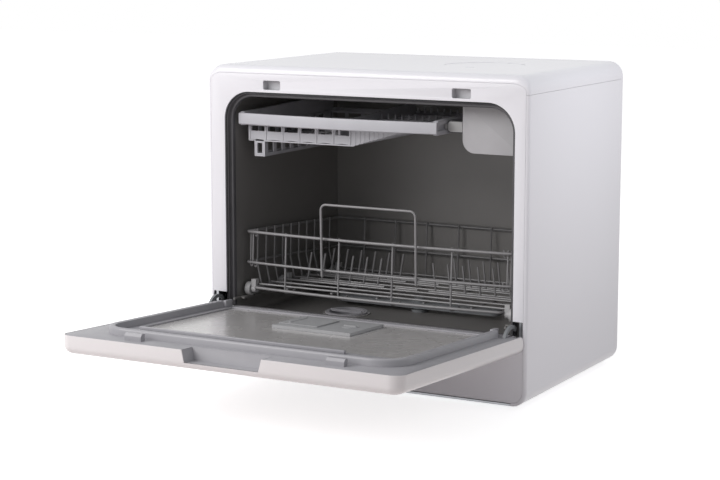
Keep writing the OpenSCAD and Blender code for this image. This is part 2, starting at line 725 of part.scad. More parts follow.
module rack_wheel(side, y) {
  color(mid) on_rails() translate([side * wheel_x, y, wheel_h]) rotate([0, 90, 0])
    difference() {
      cylinder(h = wheel_w, r = wheel_r, center = true);
      for (z = [-1, 1]) translate([0, 0, z * (wheel_w / 2 - 1)]) difference() {
        cylinder(h = 3, r = wheel_r - 2.2, center = true);
        cylinder(h = 4, r = 5, center = true);
      }
      for (i = [0:4]) rotate(i * 72) translate([7, 0, 0])
        cylinder(h = wheel_w + 1, r = 1.5, center = true, $fn = 24);
      cylinder(h = wheel_w + 2, r = axle_r + run, center = true);
    }
}
module wheel_front_left() rack_wheel(-1, wheel_ys[0]);
module wheel_front_right() rack_wheel(1, wheel_ys[0]);
module wheel_mid_left() rack_wheel(-1, wheel_ys[1]);
module wheel_mid_right() rack_wheel(1, wheel_ys[1]);
module wheel_rear_left() rack_wheel(-1, wheel_ys[2]);
module wheel_rear_right() rack_wheel(1, wheel_ys[2]);

// ---- cutlery tray ----

bar_t = 5; rail_w = 8;                   // thickness of the front bar, width of a side rail
bed_x0 = tray_x0 + rail_w + 0.1; bed_x1 = -36; bed_z = 373;
slot_x0 = -210; slot_x1 = -191; slot_z = 349; wall_t = 2;
step_z = 402; slope_x1 = 44; divider_x = -60;
basket_y0 = tray_y0 + 16; basket_y1 = tray_y1 - 12;
slat_step = 27; prong_step = 12; prong_ys = [tray_y0 + 144, basket_y1 - 7];
rail_rise = 8;                          // by which a side rail's top edge rises to the back
slat_y0 = basket_y0 + wall_t + 0.1; slope_z = step_z - 5.3;
teeth = 10; tooth_w = (slope_x1 - bed_x1 - 0.1) / teeth; tooth_d = 1;

module tray() {
  mid_x = (tray_x0 + tray_x1) / 2;
  half = (tray_x1 - tray_x0) / 2;
  big = (half * half + tray_bow * tray_bow) / (2 * tray_bow);
  color(pale) {
    // bowed front bar
    translate([mid_x, tray_y0 - tray_bow + big, tray_z0])
      four_lengths(asin(half / big), 0.001) translate([big - bar_t, 0]) square([bar_t, tray_z1 - tray_z0]);
    // grooved side rails and rear bar
    rail(tray_x0, 1);
    rail(tray_x1, -1);
    block([bed_x0, tray_y1 - 6, tray_z0 - 2], [tray_x1 - rail_w - 0.1, tray_y1, tray_z0 + 5]);
    // bed between the left rail and the sloping floor, with the deep slot for knives let into it
    slotted_wall_x(bed_x0, bed_z + wall_t + 0.1, tray_z0 - 0.1);
    for (y = [basket_y0, basket_y1 - wall_t])
      slotted_wall_y(bed_x0 + wall_t + 0.1, bed_x1 - 0.1, y, bed_z + wall_t + 0.1, 14, tray_z0 - 0.1);
    block([bed_x0, basket_y0, bed_z], [slot_x0 - 0.1, basket_y1, bed_z + wall_t]);
    grid_floor(slot_x1 + 0.1, bed_x1, bed_z, 5);
    for (x = [slot_x0, slot_x1 - wall_t]) slotted_wall_x(x, slot_z + wall_t + 0.1, bed_z + wall_t);
    for (y = [basket_y0, basket_y1 - wall_t])
      slotted_wall_y(slot_x0 + wall_t + 0.1, slot_x1 - wall_t - 0.1, y, slot_z + wall_t + 0.1, 3,
                     bed_z - 0.1);
    grid_floor(slot_x0, slot_x1, slot_z, 1);
    // sloping slats under the shelf, between two walls with notched lower edges
    for (i = [0:9]) along_y(slat_y0 + i * slat_step, slat_y0 + i * slat_step + 14)
      polygon([[bed_x1 + 0.1, bed_z], [slope_x1, slope_z], [slope_x1, slope_z + wall_t],
               [bed_x1 + 0.1, bed_z + wall_t]]);
    for (y = [basket_y0, basket_y1 - wall_t]) along_y(y, y + wall_t)
      polygon(concat([for (i = [0 : 2 * teeth]) [bed_x1 + 0.1 + i * tooth_w / 2,
                        bed_z + i * (slope_z - bed_z) / (2 * teeth) - (i % 2) * tooth_d]],
                     [[slope_x1, tray_z0 - 0.1], [bed_x1 + 0.1, tray_z0 - 0.1]]));
    // shelf of slats with two rows of short prongs
    for (i = [0:9]) block([divider_x + 4.1, basket_y0 + 4 + i * slat_step, step_z - 3],
                          [tray_x1 - rail_w - 0.1, basket_y0 + 12 + i * slat_step, step_z - 0.6]);
    for (y = prong_ys) {
      block([divider_x + 5, y - 1.5, step_z - 0.55], [divider_x + 125, y + 1.5, step_z + 2]);
      for (i = [0:9]) translate([divider_x + 10 + i * prong_step, y, step_z + 2.05])
        cylinder(h = 9, r1 = 1.7, r2 = 1, $fn = 24);
    }
    // divider with a top edge that rises to a knob at the back
    along_x(divider_x, divider_x + 4) polygon([[basket_y0 + wall_t + 0.1, bed_z + wall_t + 0.1],
      [basket_y1 - wall_t - 0.1, bed_z + wall_t + 0.1], [basket_y1 - wall_t - 0.1, step_z + 25],
      [basket_y1 - 8, step_z + 25], [basket_y1 - 8, step_z + 19], [basket_y0 + wall_t + 0.1, step_z + 8]]);
  }
}

// C-shaped rail of two flanges and a web; inward is +1 on the left rail and -1 on the right one
module rail(x, inward) {
  y0 = tray_y0 + bar_t + 0.1;
  a = min(x, x + inward * rail_w);
  b = min(x + inward * (rail_w - 3), x + inward * rail_w);
  block([a, y0, tray_z0 - 2], [a + rail_w, tray_y1, groove_z0 - weld]);
  along_x(a, a + rail_w) polygon([[y0, groove_z1 + weld], [tray_y1, groove_z1 + weld],
    [tray_y1, tray_z1 + 1.5 + rail_rise], [y0, tray_z1 + 1.5]]);
  block([b, y0, groove_z0], [b + 3, tray_y1, groove_z1]);
}

module slotted_wall_x(x, z0, z1) {
  difference() {
    block([x, basket_y0, z0], [x + wall_t, basket_y1, z1]);
    for (i = [0:8])
      block([x - 1, basket_y0 + 10 + i * 26, z0 + 3], [x + 3, basket_y0 + 28 + i * 26, z1 - 4]);
  }
}

// Wall across the tray with windows that start sill above its lower edge
module slotted_wall_y(x0, x1, y, z0, sill, z1) {
  n = max(1, round((x1 - x0) / 31));
  p = (x1 - x0) / n;
  difference() {
    block([x0, y, z0], [x1, y + wall_t, z1]);
    for (i = [0 : n - 1])
      block([x0 + i * p + 3, y - 1, z0 + sill], [x0 + (i + 1) * p - 3, y + 3, z1 - 3]);
  }
}

module grid_floor(x0, x1, z, n) {
  p = (x1 - x0) / n;
  difference() {
    block([x0, basket_y0, z], [x1, basket_y1, z + wall_t]);
    for (i = [0 : n - 1], j = [0:8])
      block([x0 + i * p + 3, basket_y0 + 8 + j * 26, z - 1],
            [x0 + (i + 1) * p - 3, basket_y0 + 28 + j * 26, z + 3]);
  }
}

// ---- water system ----

module sump() {
  color(dark) difference() {
    union() {
      rod_z(34, tub_z0 - tub_t - 0.1, filter_x, filter_y, filter_r + 5);
      block([filter_x - 20, filter_y + 30, 40], [filter_x + 20, filter_y + 62, 78]);
      rod_z(60, tub_z0 - tub_t - 0.1, tub_shift, hub_y, 20);
      block([filter_x + 10, filter_y + 40, 62], [tub_shift, hub_y + 8, 80]);
    }
    rod_z(38, tub_z0 + 1, filter_x, filter_y, filter_r + 1);
    rod_z(64, tub_z0 + 1, tub_shift, hub_y, 14);
  }
}

module filter_cup() {
  color(pale) difference() {
    union() {
      rod_z(46, tub_z0 + 3.5, filter_x, filter_y, filter_r - 8);
      rod_z(tub_z0 + 1.4, tub_z0 + 3.5, filter_x, filter_y, filter_r - 4);
    }
    rod_z(48, tub_z0 + 5, filter_x, filter_y, filter_r - 10);
    for (i = [0:7]) rotate_at(filter_x, filter_y, i * 45)
      block([filter_r - 14, -4, 54], [filter_r - 4, 4, tub_z0 - 8]);
  }
  color(pale) block([filter_x - filter_r + 10, filter_y - 1.5, tub_z0 + 1.5],
                    [filter_x + filter_r - 10, filter_y + 1.5, tub_z0 + 5.5]);
}

module rotate_at(x, y, a) translate([x, y, 0]) rotate([0, 0, a]) children();

module filter_plate() {
  color(steel) difference() {
    rod_z(tub_z0 - 0.1, tub_z0 + 1.2, filter_x, filter_y, filter_r);
    rod_z(tub_z0 - 1, tub_z0 + 2, filter_x, filter_y, filter_r - 7.4);
  }
}

module spray_riser() {
  color(mid) at_tub() {
    rod_z(66, tub_z0 + 4, 0, hub_y, 13.5);
    rod_z(tub_z0 + 3, tub_z0 + 21, 0, hub_y, 6);
    rod_z(tub_z0 + 20.5, tub_z0 + 22, 0, hub_y, 9);
  }
}

// Pair of sloping-ended blades round a hub that turns on a stub
module spray_arm(z, reach, bore) {
  color("#7d8086") at_tub() translate([0, hub_y, z]) difference() {
    union() {
      cylinder(h = 14, r = 13);
      for (a = [0, 180]) rotate(a) translate([0, 0, 2]) difference() {
        linear_extrude(9) soft_box(-17, -15, reach, 15, [0, 14, 14, 0]);
        for (i = [0:4]) translate([40 + i * 24, (i % 2) * 8 - 4, 5]) cylinder(h = 9, r = 1.6);
      }
    }
    translate([0, 0, -1]) cylinder(h = 20, r = bore);
  }
}

module lower_spray_arm() spray_arm(tub_z0 + 5, 145, 6.06);
module upper_spray_arm() spray_arm(tub_z1 - 17, 120, 5.06);

module ceiling_feed() {
  color(mid) at_tub() {
    rod_z(tub_z1 - 19, tub_z1 + 12, 0, hub_y, 5);
    rod_z(tub_z1 - 19.5, tub_z1 - 18, 0, hub_y, 8);
    rod_z(tub_z1 + 1.4, tub_z1 + 12, 0, hub_y, 16);
    block([-8, hub_y + 16 + weld, tub_z1 + 2], [8, tub_y1 + 4 - weld, tub_z1 + 11]);
    block([-8, tub_y1 + 4, 70], [8, tub_y1 + 14, tub_z1 + 11]);
  }
}

module circulation_pump() {
  color(mid) {
    rod_x(36, 118, 226, 44, 31);
    rod_x(118.1, 140, 226, 44, 24);
    rod_x(26, 35.9, 226, 44, 34);
    for (x = [46, 104]) block([x, 202, 6.4], [x + 8, 250, 20]);
  }
}

module drain_pump() {
  color(dark) {
    rod_y(30, 96, 30, 40, 21);
    rod_y(96.1, 112, 30, 40, 25);
    block([18, 46, 6.4], [42, 66, 22]);
  }
}

module heater() {
  color("#9b9ca0") {
    rod_x(-10, 24, 300, 48, 19);
    rod_x(24.1, 92, 300, 48, 15);
    rod_x(92.1, 104, 300, 48, 19);
    block([16, 294, bar_z], [24, 306, 34]);
  }
}

module water_tank() {
  color("#d9dde0") difference() {
    along_x(248.5, 271.5) soft_box(40, 150, 352, 440, [8, 8, 8, 8]);
    along_x(250, 270) soft_box(41.5, 151.5, 350.5, 438.5, [7, 7, 7, 7]);
    block([250.5, 170, 430], [269.5, 200, 445]);
  }
}

// Cup under the filler lid, with a channel to the drop into the tank
module filler_funnel() {
  cup_r = 40;
  drop_x = 252;
  color("#d9dde0") {
    difference() {
      rod_z(455, cabinet_h - 9.2, lid_x, lid_y, cup_r);
      rod_z(457, cabinet_h, lid_x, lid_y, cup_r - 2);
      block([lid_x, lid_y - 10, 457], [lid_x + cup_r + 1, lid_y + 10, 466]);
    }
    difference() {
      block([lid_x + cup_r + weld, lid_y - 12, 455], [drop_x - weld, lid_y + 12, 468]);
      block([lid_x + cup_r, lid_y - 10, 457], [drop_x, lid_y + 10, 466]);
    }
    difference() {
      block([drop_x, lid_y - 12, 441], [drop_x + 16, lid_y + 12, 468]);
      block([drop_x + 2, lid_y - 10, 440], [drop_x + 14, lid_y + 10, 466]);
      block([drop_x - 1, lid_y - 10, 457], [drop_x + 3, lid_y + 10, 466]);
    }
  }
}

// Hinge of the filler lid: a pin on the lid between two lugs on the cover's rim
lid_pin_y = lid_y + lid_r - 1; lid_pin_z = cabinet_h - 1; lid_pin_r = 1;
lug_x0 = 12.2; lug_x1 = 16;

module lid_lugs() {
  difference() {
    for (side = [-1, 1]) translate([lid_x, 0, 0]) mirror([side < 0 ? 1 : 0, 0, 0])
      block([lug_x0, lid_pin_y - 1.6, lid_pin_z - 2.5], [lug_x1, lid_y + lid_r + 2, lid_pin_z + 1]);
    rod_x(lid_x - 20, lid_x + 20, lid_pin_y, lid_pin_z, lid_pin_r + run);
  }
}

module tank_lid() {
  color(white) difference() {
    rod_z(cabinet_h - 6.8, cabinet_h - 0.4, lid_x, lid_y, lid_r);
    rod_z(cabinet_h - 4, cabinet_h, lid_x, lid_y - lid_r + 2, 10);
    for (x = [lid_x - lug_x1 - 0.4, lid_x + lug_x0 - 0.3])
      block([x, lid_pin_y - 2.6, cabinet_h - 8], [x + lug_x1 - lug_x0 + 0.7, lid_y + lid_r + 1, cabinet_h]);
  }
  color(white) rod_x(lid_x - lug_x1 + 0.4, lid_x + lug_x1 - 0.4, lid_pin_y, lid_pin_z, lid_pin_r);
}

module air_break() {
  color("#dfe3e6") difference() {
    along_x(-270, -241.5) soft_box(70, 130, 300, 420, [10, 10, 10, 10]);
    for (i = [0:4]) block([-271, 100, 160 + i * 50], [-262, 260, 190 + i * 50]);
  }
}

valve_x = -200; drain_x = -142; port_z = 60; plate_y = cabinet_d - 22;

module inlet_valve() {
  color(mid) {
    block([valve_x - 16, plate_y - 46, port_z - 16], [valve_x + 16, plate_y - 2.1, port_z + 16]);
    rod_z(port_z + 16.1, port_z + 26, valve_x, plate_y - 26, 12);
  }
}

module connector_plate() {
  color(mid) {
    block([back_win[0] - 4, plate_y - 2, back_win[1] - 4], [back_win[2] + 4, plate_y, back_win[3] + 4]);
    difference() {
      rod_y(plate_y - 0.1, plate_y + 16, valve_x, port_z, 13.2);
      rod_y(plate_y, plate_y + 17, valve_x, port_z, 8);
    }
    difference() {
      rod_y(plate_y - 0.1, plate_y + 19, drain_x, port_z, 9);
      rod_y(plate_y, plate_y + 20, drain_x, port_z, 6.5);
    }
  }
}

module cord_gland() {
  color(dark) difference() {
    union() {
      rod_y(cabinet_d - 8, cabinet_d + 0.05, gland_x, gland_z, 9);
      rod_y(cabinet_d + 0.05, cabinet_d + 3, gland_x, gland_z, 11.5);
    }
    rod_y(cabinet_d - 9, cabinet_d + 4, gland_x, gland_z, 3.6);
  }
}

module power_board() {
  color("#2f5d46") {
    block([150, 250, board_z], [238, 340, board_z + 2]);
    for (p = [[155, 255], [233, 255], [155, 335]]) rod_z(6.4, board_z + 0.1, p[0], p[1], 3);
    block([165, 262, board_z + 2.1], [190, 290, board_z + 26]);
    rod_z(board_z + 2.1, board_z + 29, 215, 275, 9);
    block([200, 300, board_z + 2.1], [232, 328, board_z + 15]);
  }
}

module drying_fan() {
  color(dark) difference() {
    along_z(450, 478) soft_box(150, 230, 236, 316, [8, 8, 8, 8]);
    rod_z(452, 480, 193, 273, 36);
  }
  color(dark) {
    rod_z(451, 474, 193, 273, 14);
    for (i = [0:8]) rotate_at(193, 273, i * 40) block([13, -1, 453], [33, 1, 472]);
  }
}

module float_switch() {
  color(dark) {
    rod_z(bar_z, bar_z + 18, -200, 60, 16);
    block([-186, 54, bar_z], [-172, 66, bar_z + 24]);
  }
}

placed() top_cover();
placed() left_side_panel();
placed() right_side_panel();
placed() front_frame();
placed() kick_panel();
placed() back_panel();
placed() base_pan();
placed() feet();
placed() latch_pockets();
placed() tub();
placed() rack_rails();
placed() door_seal();
placed() air_duct_cover();
placed() tray_guides();
placed() hinge_bracket_left();
placed() hinge_bracket_right();
placed() sump();
placed() filter_cup();
placed() filter_plate();
placed() spray_riser();
placed() ceiling_feed();
placed() circulation_pump();
placed() drain_pump();
placed() heater();
placed() water_tank();
placed() filler_funnel();
placed() air_break();
placed() inlet_valve();
placed() connector_plate();
placed() cord_gland();
placed() power_board();
placed() drying_fan();
placed() float_switch();
placed() back_screws();
placed() door_skin();
placed() door_liner();
placed() liner_rim();
placed() liner_panel();
placed() latch_tabs();
placed() door_arms();
placed() dispenser();
placed() control_strip();
placed() dispenser_lid();
placed() rinse_cap();
placed() power_button();
placed() start_button();
placed() hinge_springs();
placed() tank_lid();
placed() lower_spray_arm();
placed() upper_spray_arm();
placed() rack_frame();
placed() rack_tines();
placed() wheel_clips();
placed() wheel_front_left();
placed() wheel_front_right();
placed() wheel_mid_left();
placed() wheel_mid_right();
placed() wheel_rear_left();
placed() wheel_rear_right();
placed() tray();
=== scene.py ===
import json
import math

import bmesh
import bpy
from mathutils import Matrix, Vector


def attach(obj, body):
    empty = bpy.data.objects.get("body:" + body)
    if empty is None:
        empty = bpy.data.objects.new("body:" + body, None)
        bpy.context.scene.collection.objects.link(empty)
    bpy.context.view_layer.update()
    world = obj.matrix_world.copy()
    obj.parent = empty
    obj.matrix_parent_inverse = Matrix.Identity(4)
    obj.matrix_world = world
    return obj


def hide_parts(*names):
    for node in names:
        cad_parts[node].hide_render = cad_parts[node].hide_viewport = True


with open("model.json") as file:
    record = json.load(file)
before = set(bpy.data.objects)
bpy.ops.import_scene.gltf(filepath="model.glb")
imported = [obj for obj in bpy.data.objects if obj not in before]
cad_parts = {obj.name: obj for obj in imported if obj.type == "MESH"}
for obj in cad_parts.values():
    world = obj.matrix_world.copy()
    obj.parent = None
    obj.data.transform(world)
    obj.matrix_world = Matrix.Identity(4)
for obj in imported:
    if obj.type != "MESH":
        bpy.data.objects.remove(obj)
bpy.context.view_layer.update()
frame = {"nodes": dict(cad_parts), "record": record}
nodes = frame["nodes"]
print("frame loaded:", len(nodes), "nodes")

# Sizes below are in millimetres. Cabinet pieces are measured from the front face of the
# cabinet, door pieces in the closed position, rack pieces along and above the sloping rails.
hinge = dict(out=12, z=103, open=87, reach=10.8)
tubShift = 4
tilt = math.radians(90 - hinge["open"])
railZ = hinge["z"] + hinge["reach"] / math.cos(tilt) - hinge["out"] * math.tan(tilt)
toMetres = Matrix.Scale(0.001, 4)
atCabinet = toMetres @ Matrix.Translation((0, hinge["out"], 0))
atDoor = (
    toMetres
    @ Matrix.Translation((0, 0, hinge["z"]))
    @ Matrix.Rotation(math.radians(hinge["open"]), 4, "X")
    @ Matrix.Translation((0, hinge["out"], -hinge["z"]))
)
atRails = (
    toMetres
    @ Matrix.Translation((tubShift, hinge["out"], railZ))
    @ Matrix.Rotation(-tilt, 4, "X")
)


# Finishes: a slow drift of colour, a patchy roughness and a fine surface relief
def finish(name, colour, rough, metal=0.0, vary=0.03, patch=25, grain=900, depth=0.05,
           coat=0.0, roughVary=0.04):
    material = bpy.data.materials.new(name)
    material.use_nodes = True
    tree = material.node_tree
    shader = tree.nodes["Principled BSDF"]
    shader.inputs["Metallic"].default_value = metal
    shader.inputs["Coat Weight"].default_value = coat
    shader.inputs["Coat Roughness"].default_value = 0.12
    place = tree.nodes.new("ShaderNodeTexCoord")

    def noiseAt(scale, detail):
        node = tree.nodes.new("ShaderNodeTexNoise")
        node.inputs["Scale"].default_value = scale
        node.inputs["Detail"].default_value = detail
        tree.links.new(place.outputs["Object"], node.inputs["Vector"])
        return node.outputs["Fac"]

    def spread(source, low, high):
        node = tree.nodes.new("ShaderNodeMapRange")
        node.inputs["From Min"].default_value = 0.3
        node.inputs["From Max"].default_value = 0.7
        node.inputs["To Min"].default_value = low
        node.inputs["To Max"].default_value = high
        tree.links.new(source, node.inputs["Value"])
        return node.outputs["Result"]

    mix = tree.nodes.new("ShaderNodeMix")
    mix.data_type = "RGBA"
    mix.inputs["A"].default_value = (*[min(1, c * (1 - vary)) for c in colour], 1)
    mix.inputs["B"].default_value = (*[min(1, c * (1 + vary)) for c in colour], 1)
    tree.links.new(spread(noiseAt(patch, 3), 0, 1), mix.inputs["Factor"])
    tree.links.new(mix.outputs["Result"], shader.inputs["Base Color"])
    tree.links.new(spread(noiseAt(patch * 3, 2), rough - roughVary, rough + roughVary),
                   shader.inputs["Roughness"])
    bump = tree.nodes.new("ShaderNodeBump")
    bump.inputs["Strength"].default_value = depth
    bump.inputs["Distance"].default_value = 0.0005
    tree.links.new(noiseAt(grain, 2), bump.inputs["Height"])
    tree.links.new(bump.outputs["Normal"], shader.inputs["Normal"])
    return material


glossy = dict(vary=0.004, patch=4, grain=1200, depth=0.012, coat=0.3, roughVary=0.01)
moulded = dict(vary=0.03, grain=1500, depth=0.05)
whiteEnamel = finish("white enamel", (0.79, 0.785, 0.825), 0.34, **glossy)
# Door enamel: the cabinet's white made darker as painted shade. Its warmer tint is partly painted warm
# floor bounce and partly a faint warm tone of its own.
shadedDoorEnamel = finish("door enamel with painted shade", (0.70, 0.675, 0.682), 0.34, **glossy)
linerPlastic = finish("liner plastic", (0.35, 0.345, 0.367), 0.40, **moulded)
trayPlastic = finish("tray plastic", (0.45, 0.45, 0.48), 0.42, **moulded)
clipPlastic = finish("slide clip plastic", (0.42, 0.42, 0.42), 0.45, **moulded)
pocketPlastic = finish("pocket plastic", (0.56, 0.56, 0.58), 0.5, **moulded)
backPlastic = finish("back panel plastic", (0.36, 0.36, 0.38), 0.5, **moulded)
ductPlastic = finish("duct plastic", (0.46, 0.455, 0.47), 0.5, **moulded)
wheelPlastic = finish("wheel plastic", (0.46, 0.455, 0.46), 0.45, **moulded)
armPlastic = finish("spray arm plastic", (0.20, 0.21, 0.22), 0.42, **moulded)
# Dark plastic for the sump, drain pump, drying fan and float switch. On the tray clip it is painted
# shade round the cap.
darkPlasticAndShadeRim = finish("dark plastic and painted shade rim", (0.035, 0.035, 0.038), 0.4, vary=0.1, grain=1300, depth=0.08)
stripBlack = finish("control strip black", (0.012, 0.012, 0.014), 0.12, vary=0.1, grain=20,
                    depth=0.02, coat=0.5)
dispenserPlastic = finish("dispenser plastic", (0.36, 0.362, 0.37), 0.42, **moulded)
milkyPlastic = finish("milky tank plastic", (0.60, 0.64, 0.66), 0.3, vary=0.05, grain=200, depth=0.03)
# Near-black rubber for the feet and cord gland. On the seal lip the same near-black is painted shade
# for the gap between frame and seal.
blackRubberAndGapShade = finish("black rubber and painted gap shade", (0.010, 0.010, 0.012), 0.6, vary=0.15, grain=1800, depth=0.12)
sealRubber = finish("seal rubber", (0.075, 0.072, 0.078), 0.5, vary=0.12, grain=1800, depth=0.12)
wireCoating = finish("wire coating", (0.235, 0.23, 0.235), 0.32, vary=0.05, patch=60,
                     grain=700, depth=0.06)
tubSteel = finish("tub steel", (0.22, 0.212, 0.207), 0.42, metal=0.3, vary=0.04, patch=4, grain=700,
                  depth=0.02, roughVary=0.02)
panelSteel = finish("door panel steel", (0.56, 0.545, 0.54), 0.27, metal=0.35, vary=0.03, patch=6,
                    grain=700, depth=0.02, coat=0.2, roughVary=0.02)
zincPlate = finish("zinc plate", (0.42, 0.43, 0.45), 0.38, metal=1.0, vary=0.08, patch=90,
                   grain=300, depth=0.1)
springSteel = finish("spring steel", (0.45, 0.44, 0.42), 0.3, metal=1.0, vary=0.05,
                     grain=400, depth=0.05)
boardGreen = finish("board green", (0.03, 0.12, 0.06), 0.35, vary=0.2, patch=200, grain=900, depth=0.2)

keptFinishes = {
    zincPlate: ["base_pan", "hinge_bracket_left", "hinge_bracket_right"],
    tubSteel: ["tub", "rack_rails"],
    panelSteel: ["liner_panel", "filter_plate"],
    springSteel: ["hinge_springs", "heater", "back_screws"],
    pocketPlastic: ["latch_pockets"],
    backPlastic: ["back_panel", "connector_plate", "power_button", "start_button"],
    ductPlastic: ["ceiling_feed", "circulation_pump", "inlet_valve"],
    linerPlastic: ["filter_cup", "latch_tabs"],
    armPlastic: ["lower_spray_arm", "upper_spray_arm", "spray_riser", "door_arms"],
    wheelPlastic: ["wheel_clips"],
    milkyPlastic: ["water_tank", "filler_funnel", "air_break"],
    dispenserPlastic: ["dispenser", "dispenser_lid", "rinse_cap"],
    whiteEnamel: ["tank_lid"],
    darkPlasticAndShadeRim: ["sump", "drain_pump", "drying_fan", "float_switch"],
    stripBlack: ["control_strip"],
    blackRubberAndGapShade: ["feet", "cord_gland"],
    boardGreen: ["power_board"],
}
for material, names in keptFinishes.items():
    for nodeName in names:
        for entry in nodes[nodeName].material_slots:
            entry.material = material
print("finishes made")

slotOf = {part["node"]: part["material_slot"] for part in frame["record"]["subparts"]}


# Shared modelling helpers
def meshObject(name, points, faces):
    mesh = bpy.data.meshes.new(name)
    mesh.from_pydata([tuple(p) for p in points], [], faces)
    mesh.update()
    item = bpy.data.objects.new(name, mesh)
    bpy.context.scene.collection.objects.link(item)
    return item


def bake(item):
    view = bpy.context.evaluated_depsgraph_get()
    view.update()
    mesh = bpy.data.meshes.new_from_object(item.evaluated_get(view))
    item.modifiers.clear()
    old = item.data
    item.data = mesh
    bpy.data.meshes.remove(old)
    return item


def outwards(item):
    shape = bmesh.new()
    shape.from_mesh(item.data)
    bmesh.ops.remove_doubles(shape, verts=shape.verts, dist=0.002)
    bmesh.ops.recalc_face_normals(shape, faces=shape.faces)
    shape.to_mesh(item.data)
    shape.free()
    return item


def rounded(item, width, steps=3, angle=35):
    bevel = item.modifiers.new("edges", "BEVEL")
    bevel.width = width
    bevel.segments = steps
    bevel.limit_method = "ANGLE"
    bevel.angle_limit = math.radians(angle)
    bevel.use_clamp_overlap = True
    return bake(item)


def cut(item, cutters):
    for cutter in cutters:
        step = item.modifiers.new("cut", "BOOLEAN")
        step.object = cutter
        step.solver = "EXACT"
    bake(item)
    for cutter in cutters:
        bpy.data.objects.remove(cutter)
    return item


def settle(item, place, material, body, replaced=(), slotName=None, sharp=38):
    item.data.transform(place)
    item.data.materials.clear()
    item.data.materials.append(material)
    item.data.shade_smooth()
    item.data.set_sharp_from_angle(angle=math.radians(sharp))
    if replaced:
        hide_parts(*replaced)
        slotName = slotName or slotOf[replaced[0]]
    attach(item, body)
    return item


def join(name, items):
    shape = bmesh.new()
    for item in items:
        shape.from_mesh(item.data)
        bpy.data.objects.remove(item)
    mesh = bpy.data.meshes.new(name)
    shape.to_mesh(mesh)
    shape.free()
    whole = bpy.data.objects.new(name, mesh)
    bpy.context.scene.collection.objects.link(whole)
    return whole


def arc(cx, cy, r, start, end, steps):
    angles = [math.radians(start + (end - start) * i / steps) for i in range(steps + 1)]
    return [(cx + r * math.cos(a), cy + r * math.sin(a)) for a in angles]


# Rectangle with a radius for each corner: low left, low right, high right, high left
def roundRect(x0, y0, x1, y1, radii, steps=10):
    r0, r1, r2, r3 = radii
    points = []
    for cx, cy, r, start in ((x0 + r0, y0 + r0, r0, 180), (x1 - r1, y0 + r1, r1, 270),
                             (x1 - r2, y1 - r2, r2, 0), (x0 + r3, y1 - r3, r3, 90)):
        points += arc(cx, cy, r, start, start + 90, steps) if r > 0 else [(cx, cy)]
    return points


# Skin over a row of rings; a closed row joins its last ring to its first
def loft(name, rings, closed=True):
    count = len(rings[0])
    points = [p for ring in rings for p in ring]
    faces = []
    for k in range(len(rings) if closed else len(rings) - 1):
        a, b = k * count, ((k + 1) % len(rings)) * count
        for i in range(count):
            j = (i + 1) % count
            faces.append((a + i, a + j, b + j, b + i))
    if not closed:
        faces.append(tuple(range(count)))
        faces.append(tuple(range((len(rings) - 1) * count, len(rings) * count)))
    return outwards(meshObject(name, points, faces))


def prismY(name, outline, y0, y1):
    return loft(name, [[(x, y, z) for x, z in outline] for y in (y0, y1)], closed=False)


def prismX(name, outline, x0, x1):
    return loft(name, [[(x, y, z) for y, z in outline] for x in (x0, x1)], closed=False)


def prismZ(name, outline, z0, z1):
    return loft(name, [[(x, y, z) for x, y in outline] for z in (z0, z1)], closed=False)


def slab(name, low, high):
    return prismZ(name, [(low[0], low[1]), (high[0], low[1]), (high[0], high[1]), (low[0], high[1])],
                  low[2], high[2])


def lathe(name, profile, steps):
    rings = []
    for k in range(steps):
        a = 2 * math.pi * k / steps
        rings.append([(r * math.cos(a), r * math.sin(a), z) for r, z in profile])
    return loft(name, rings)


# Turns a row of cross-sections, one per profile point, into a closed strip along the path
def strip(name, rings):
    return loft(name, [[ring[i] for ring in rings] for i in range(len(rings[0]))], closed=False)


def smooth(t):
    t = max(0.0, min(1.0, t))
    return t * t * (3 - 2 * t)


# Node trees for wires and for repeated shapes
def socket(tree, name, kind, value):
    item = tree.interface.new_socket(name, in_out="INPUT", socket_type=kind)
    if value is not None:
        item.default_value = value
    return item.identifier


def startTree(name):
    tree = bpy.data.node_groups.new(name, "GeometryNodeTree")
    tree.interface.new_socket("Geometry", in_out="INPUT", socket_type="NodeSocketGeometry")
    tree.interface.new_socket("Geometry", in_out="OUTPUT", socket_type="NodeSocketGeometry")
    return tree, tree.nodes.new("NodeGroupInput"), tree.nodes.new("NodeGroupOutput")


def makeWireTree():
    tree, given, made = startTree("bent wires")
    keys = dict(radius=socket(tree, "Wire radius", "NodeSocketFloat", 2.0),
                bend=socket(tree, "Bend radius", "NodeSocketFloat", 6.0),
                around=socket(tree, "Sides", "NodeSocketInt", 10),
                material=socket(tree, "Coating", "NodeSocketMaterial", None))
    path = tree.nodes.new("GeometryNodeMeshToCurve")
    fillet = tree.nodes.new("GeometryNodeFilletCurve")
    fillet.mode = "POLY"
    fillet.inputs["Count"].default_value = 6
    fillet.inputs["Limit Radius"].default_value = True
    ring = tree.nodes.new("GeometryNodeCurvePrimitiveCircle")
    sweep = tree.nodes.new("GeometryNodeCurveToMesh")
    sweep.inputs["Fill Caps"].default_value = True
    real = tree.nodes.new("GeometryNodeRealizeInstances")
    coat = tree.nodes.new("GeometryNodeSetMaterial")
    link = tree.links.new
    link(given.outputs["Geometry"], path.inputs["Mesh"])
    link(path.outputs["Curve"], fillet.inputs["Curve"])
    link(given.outputs["Bend radius"], fillet.inputs["Radius"])
    link(given.outputs["Sides"], ring.inputs["Resolution"])
    link(given.outputs["Wire radius"], ring.inputs["Radius"])
    link(fillet.outputs["Curve"], sweep.inputs["Curve"])
    link(ring.outputs["Curve"], sweep.inputs["Profile Curve"])
    link(sweep.outputs["Mesh"], real.inputs["Geometry"])
    link(real.outputs["Geometry"], coat.inputs["Geometry"])
    link(given.outputs["Coating"], coat.inputs["Material"])
    link(coat.outputs["Geometry"], made.inputs["Geometry"])
    return tree, keys


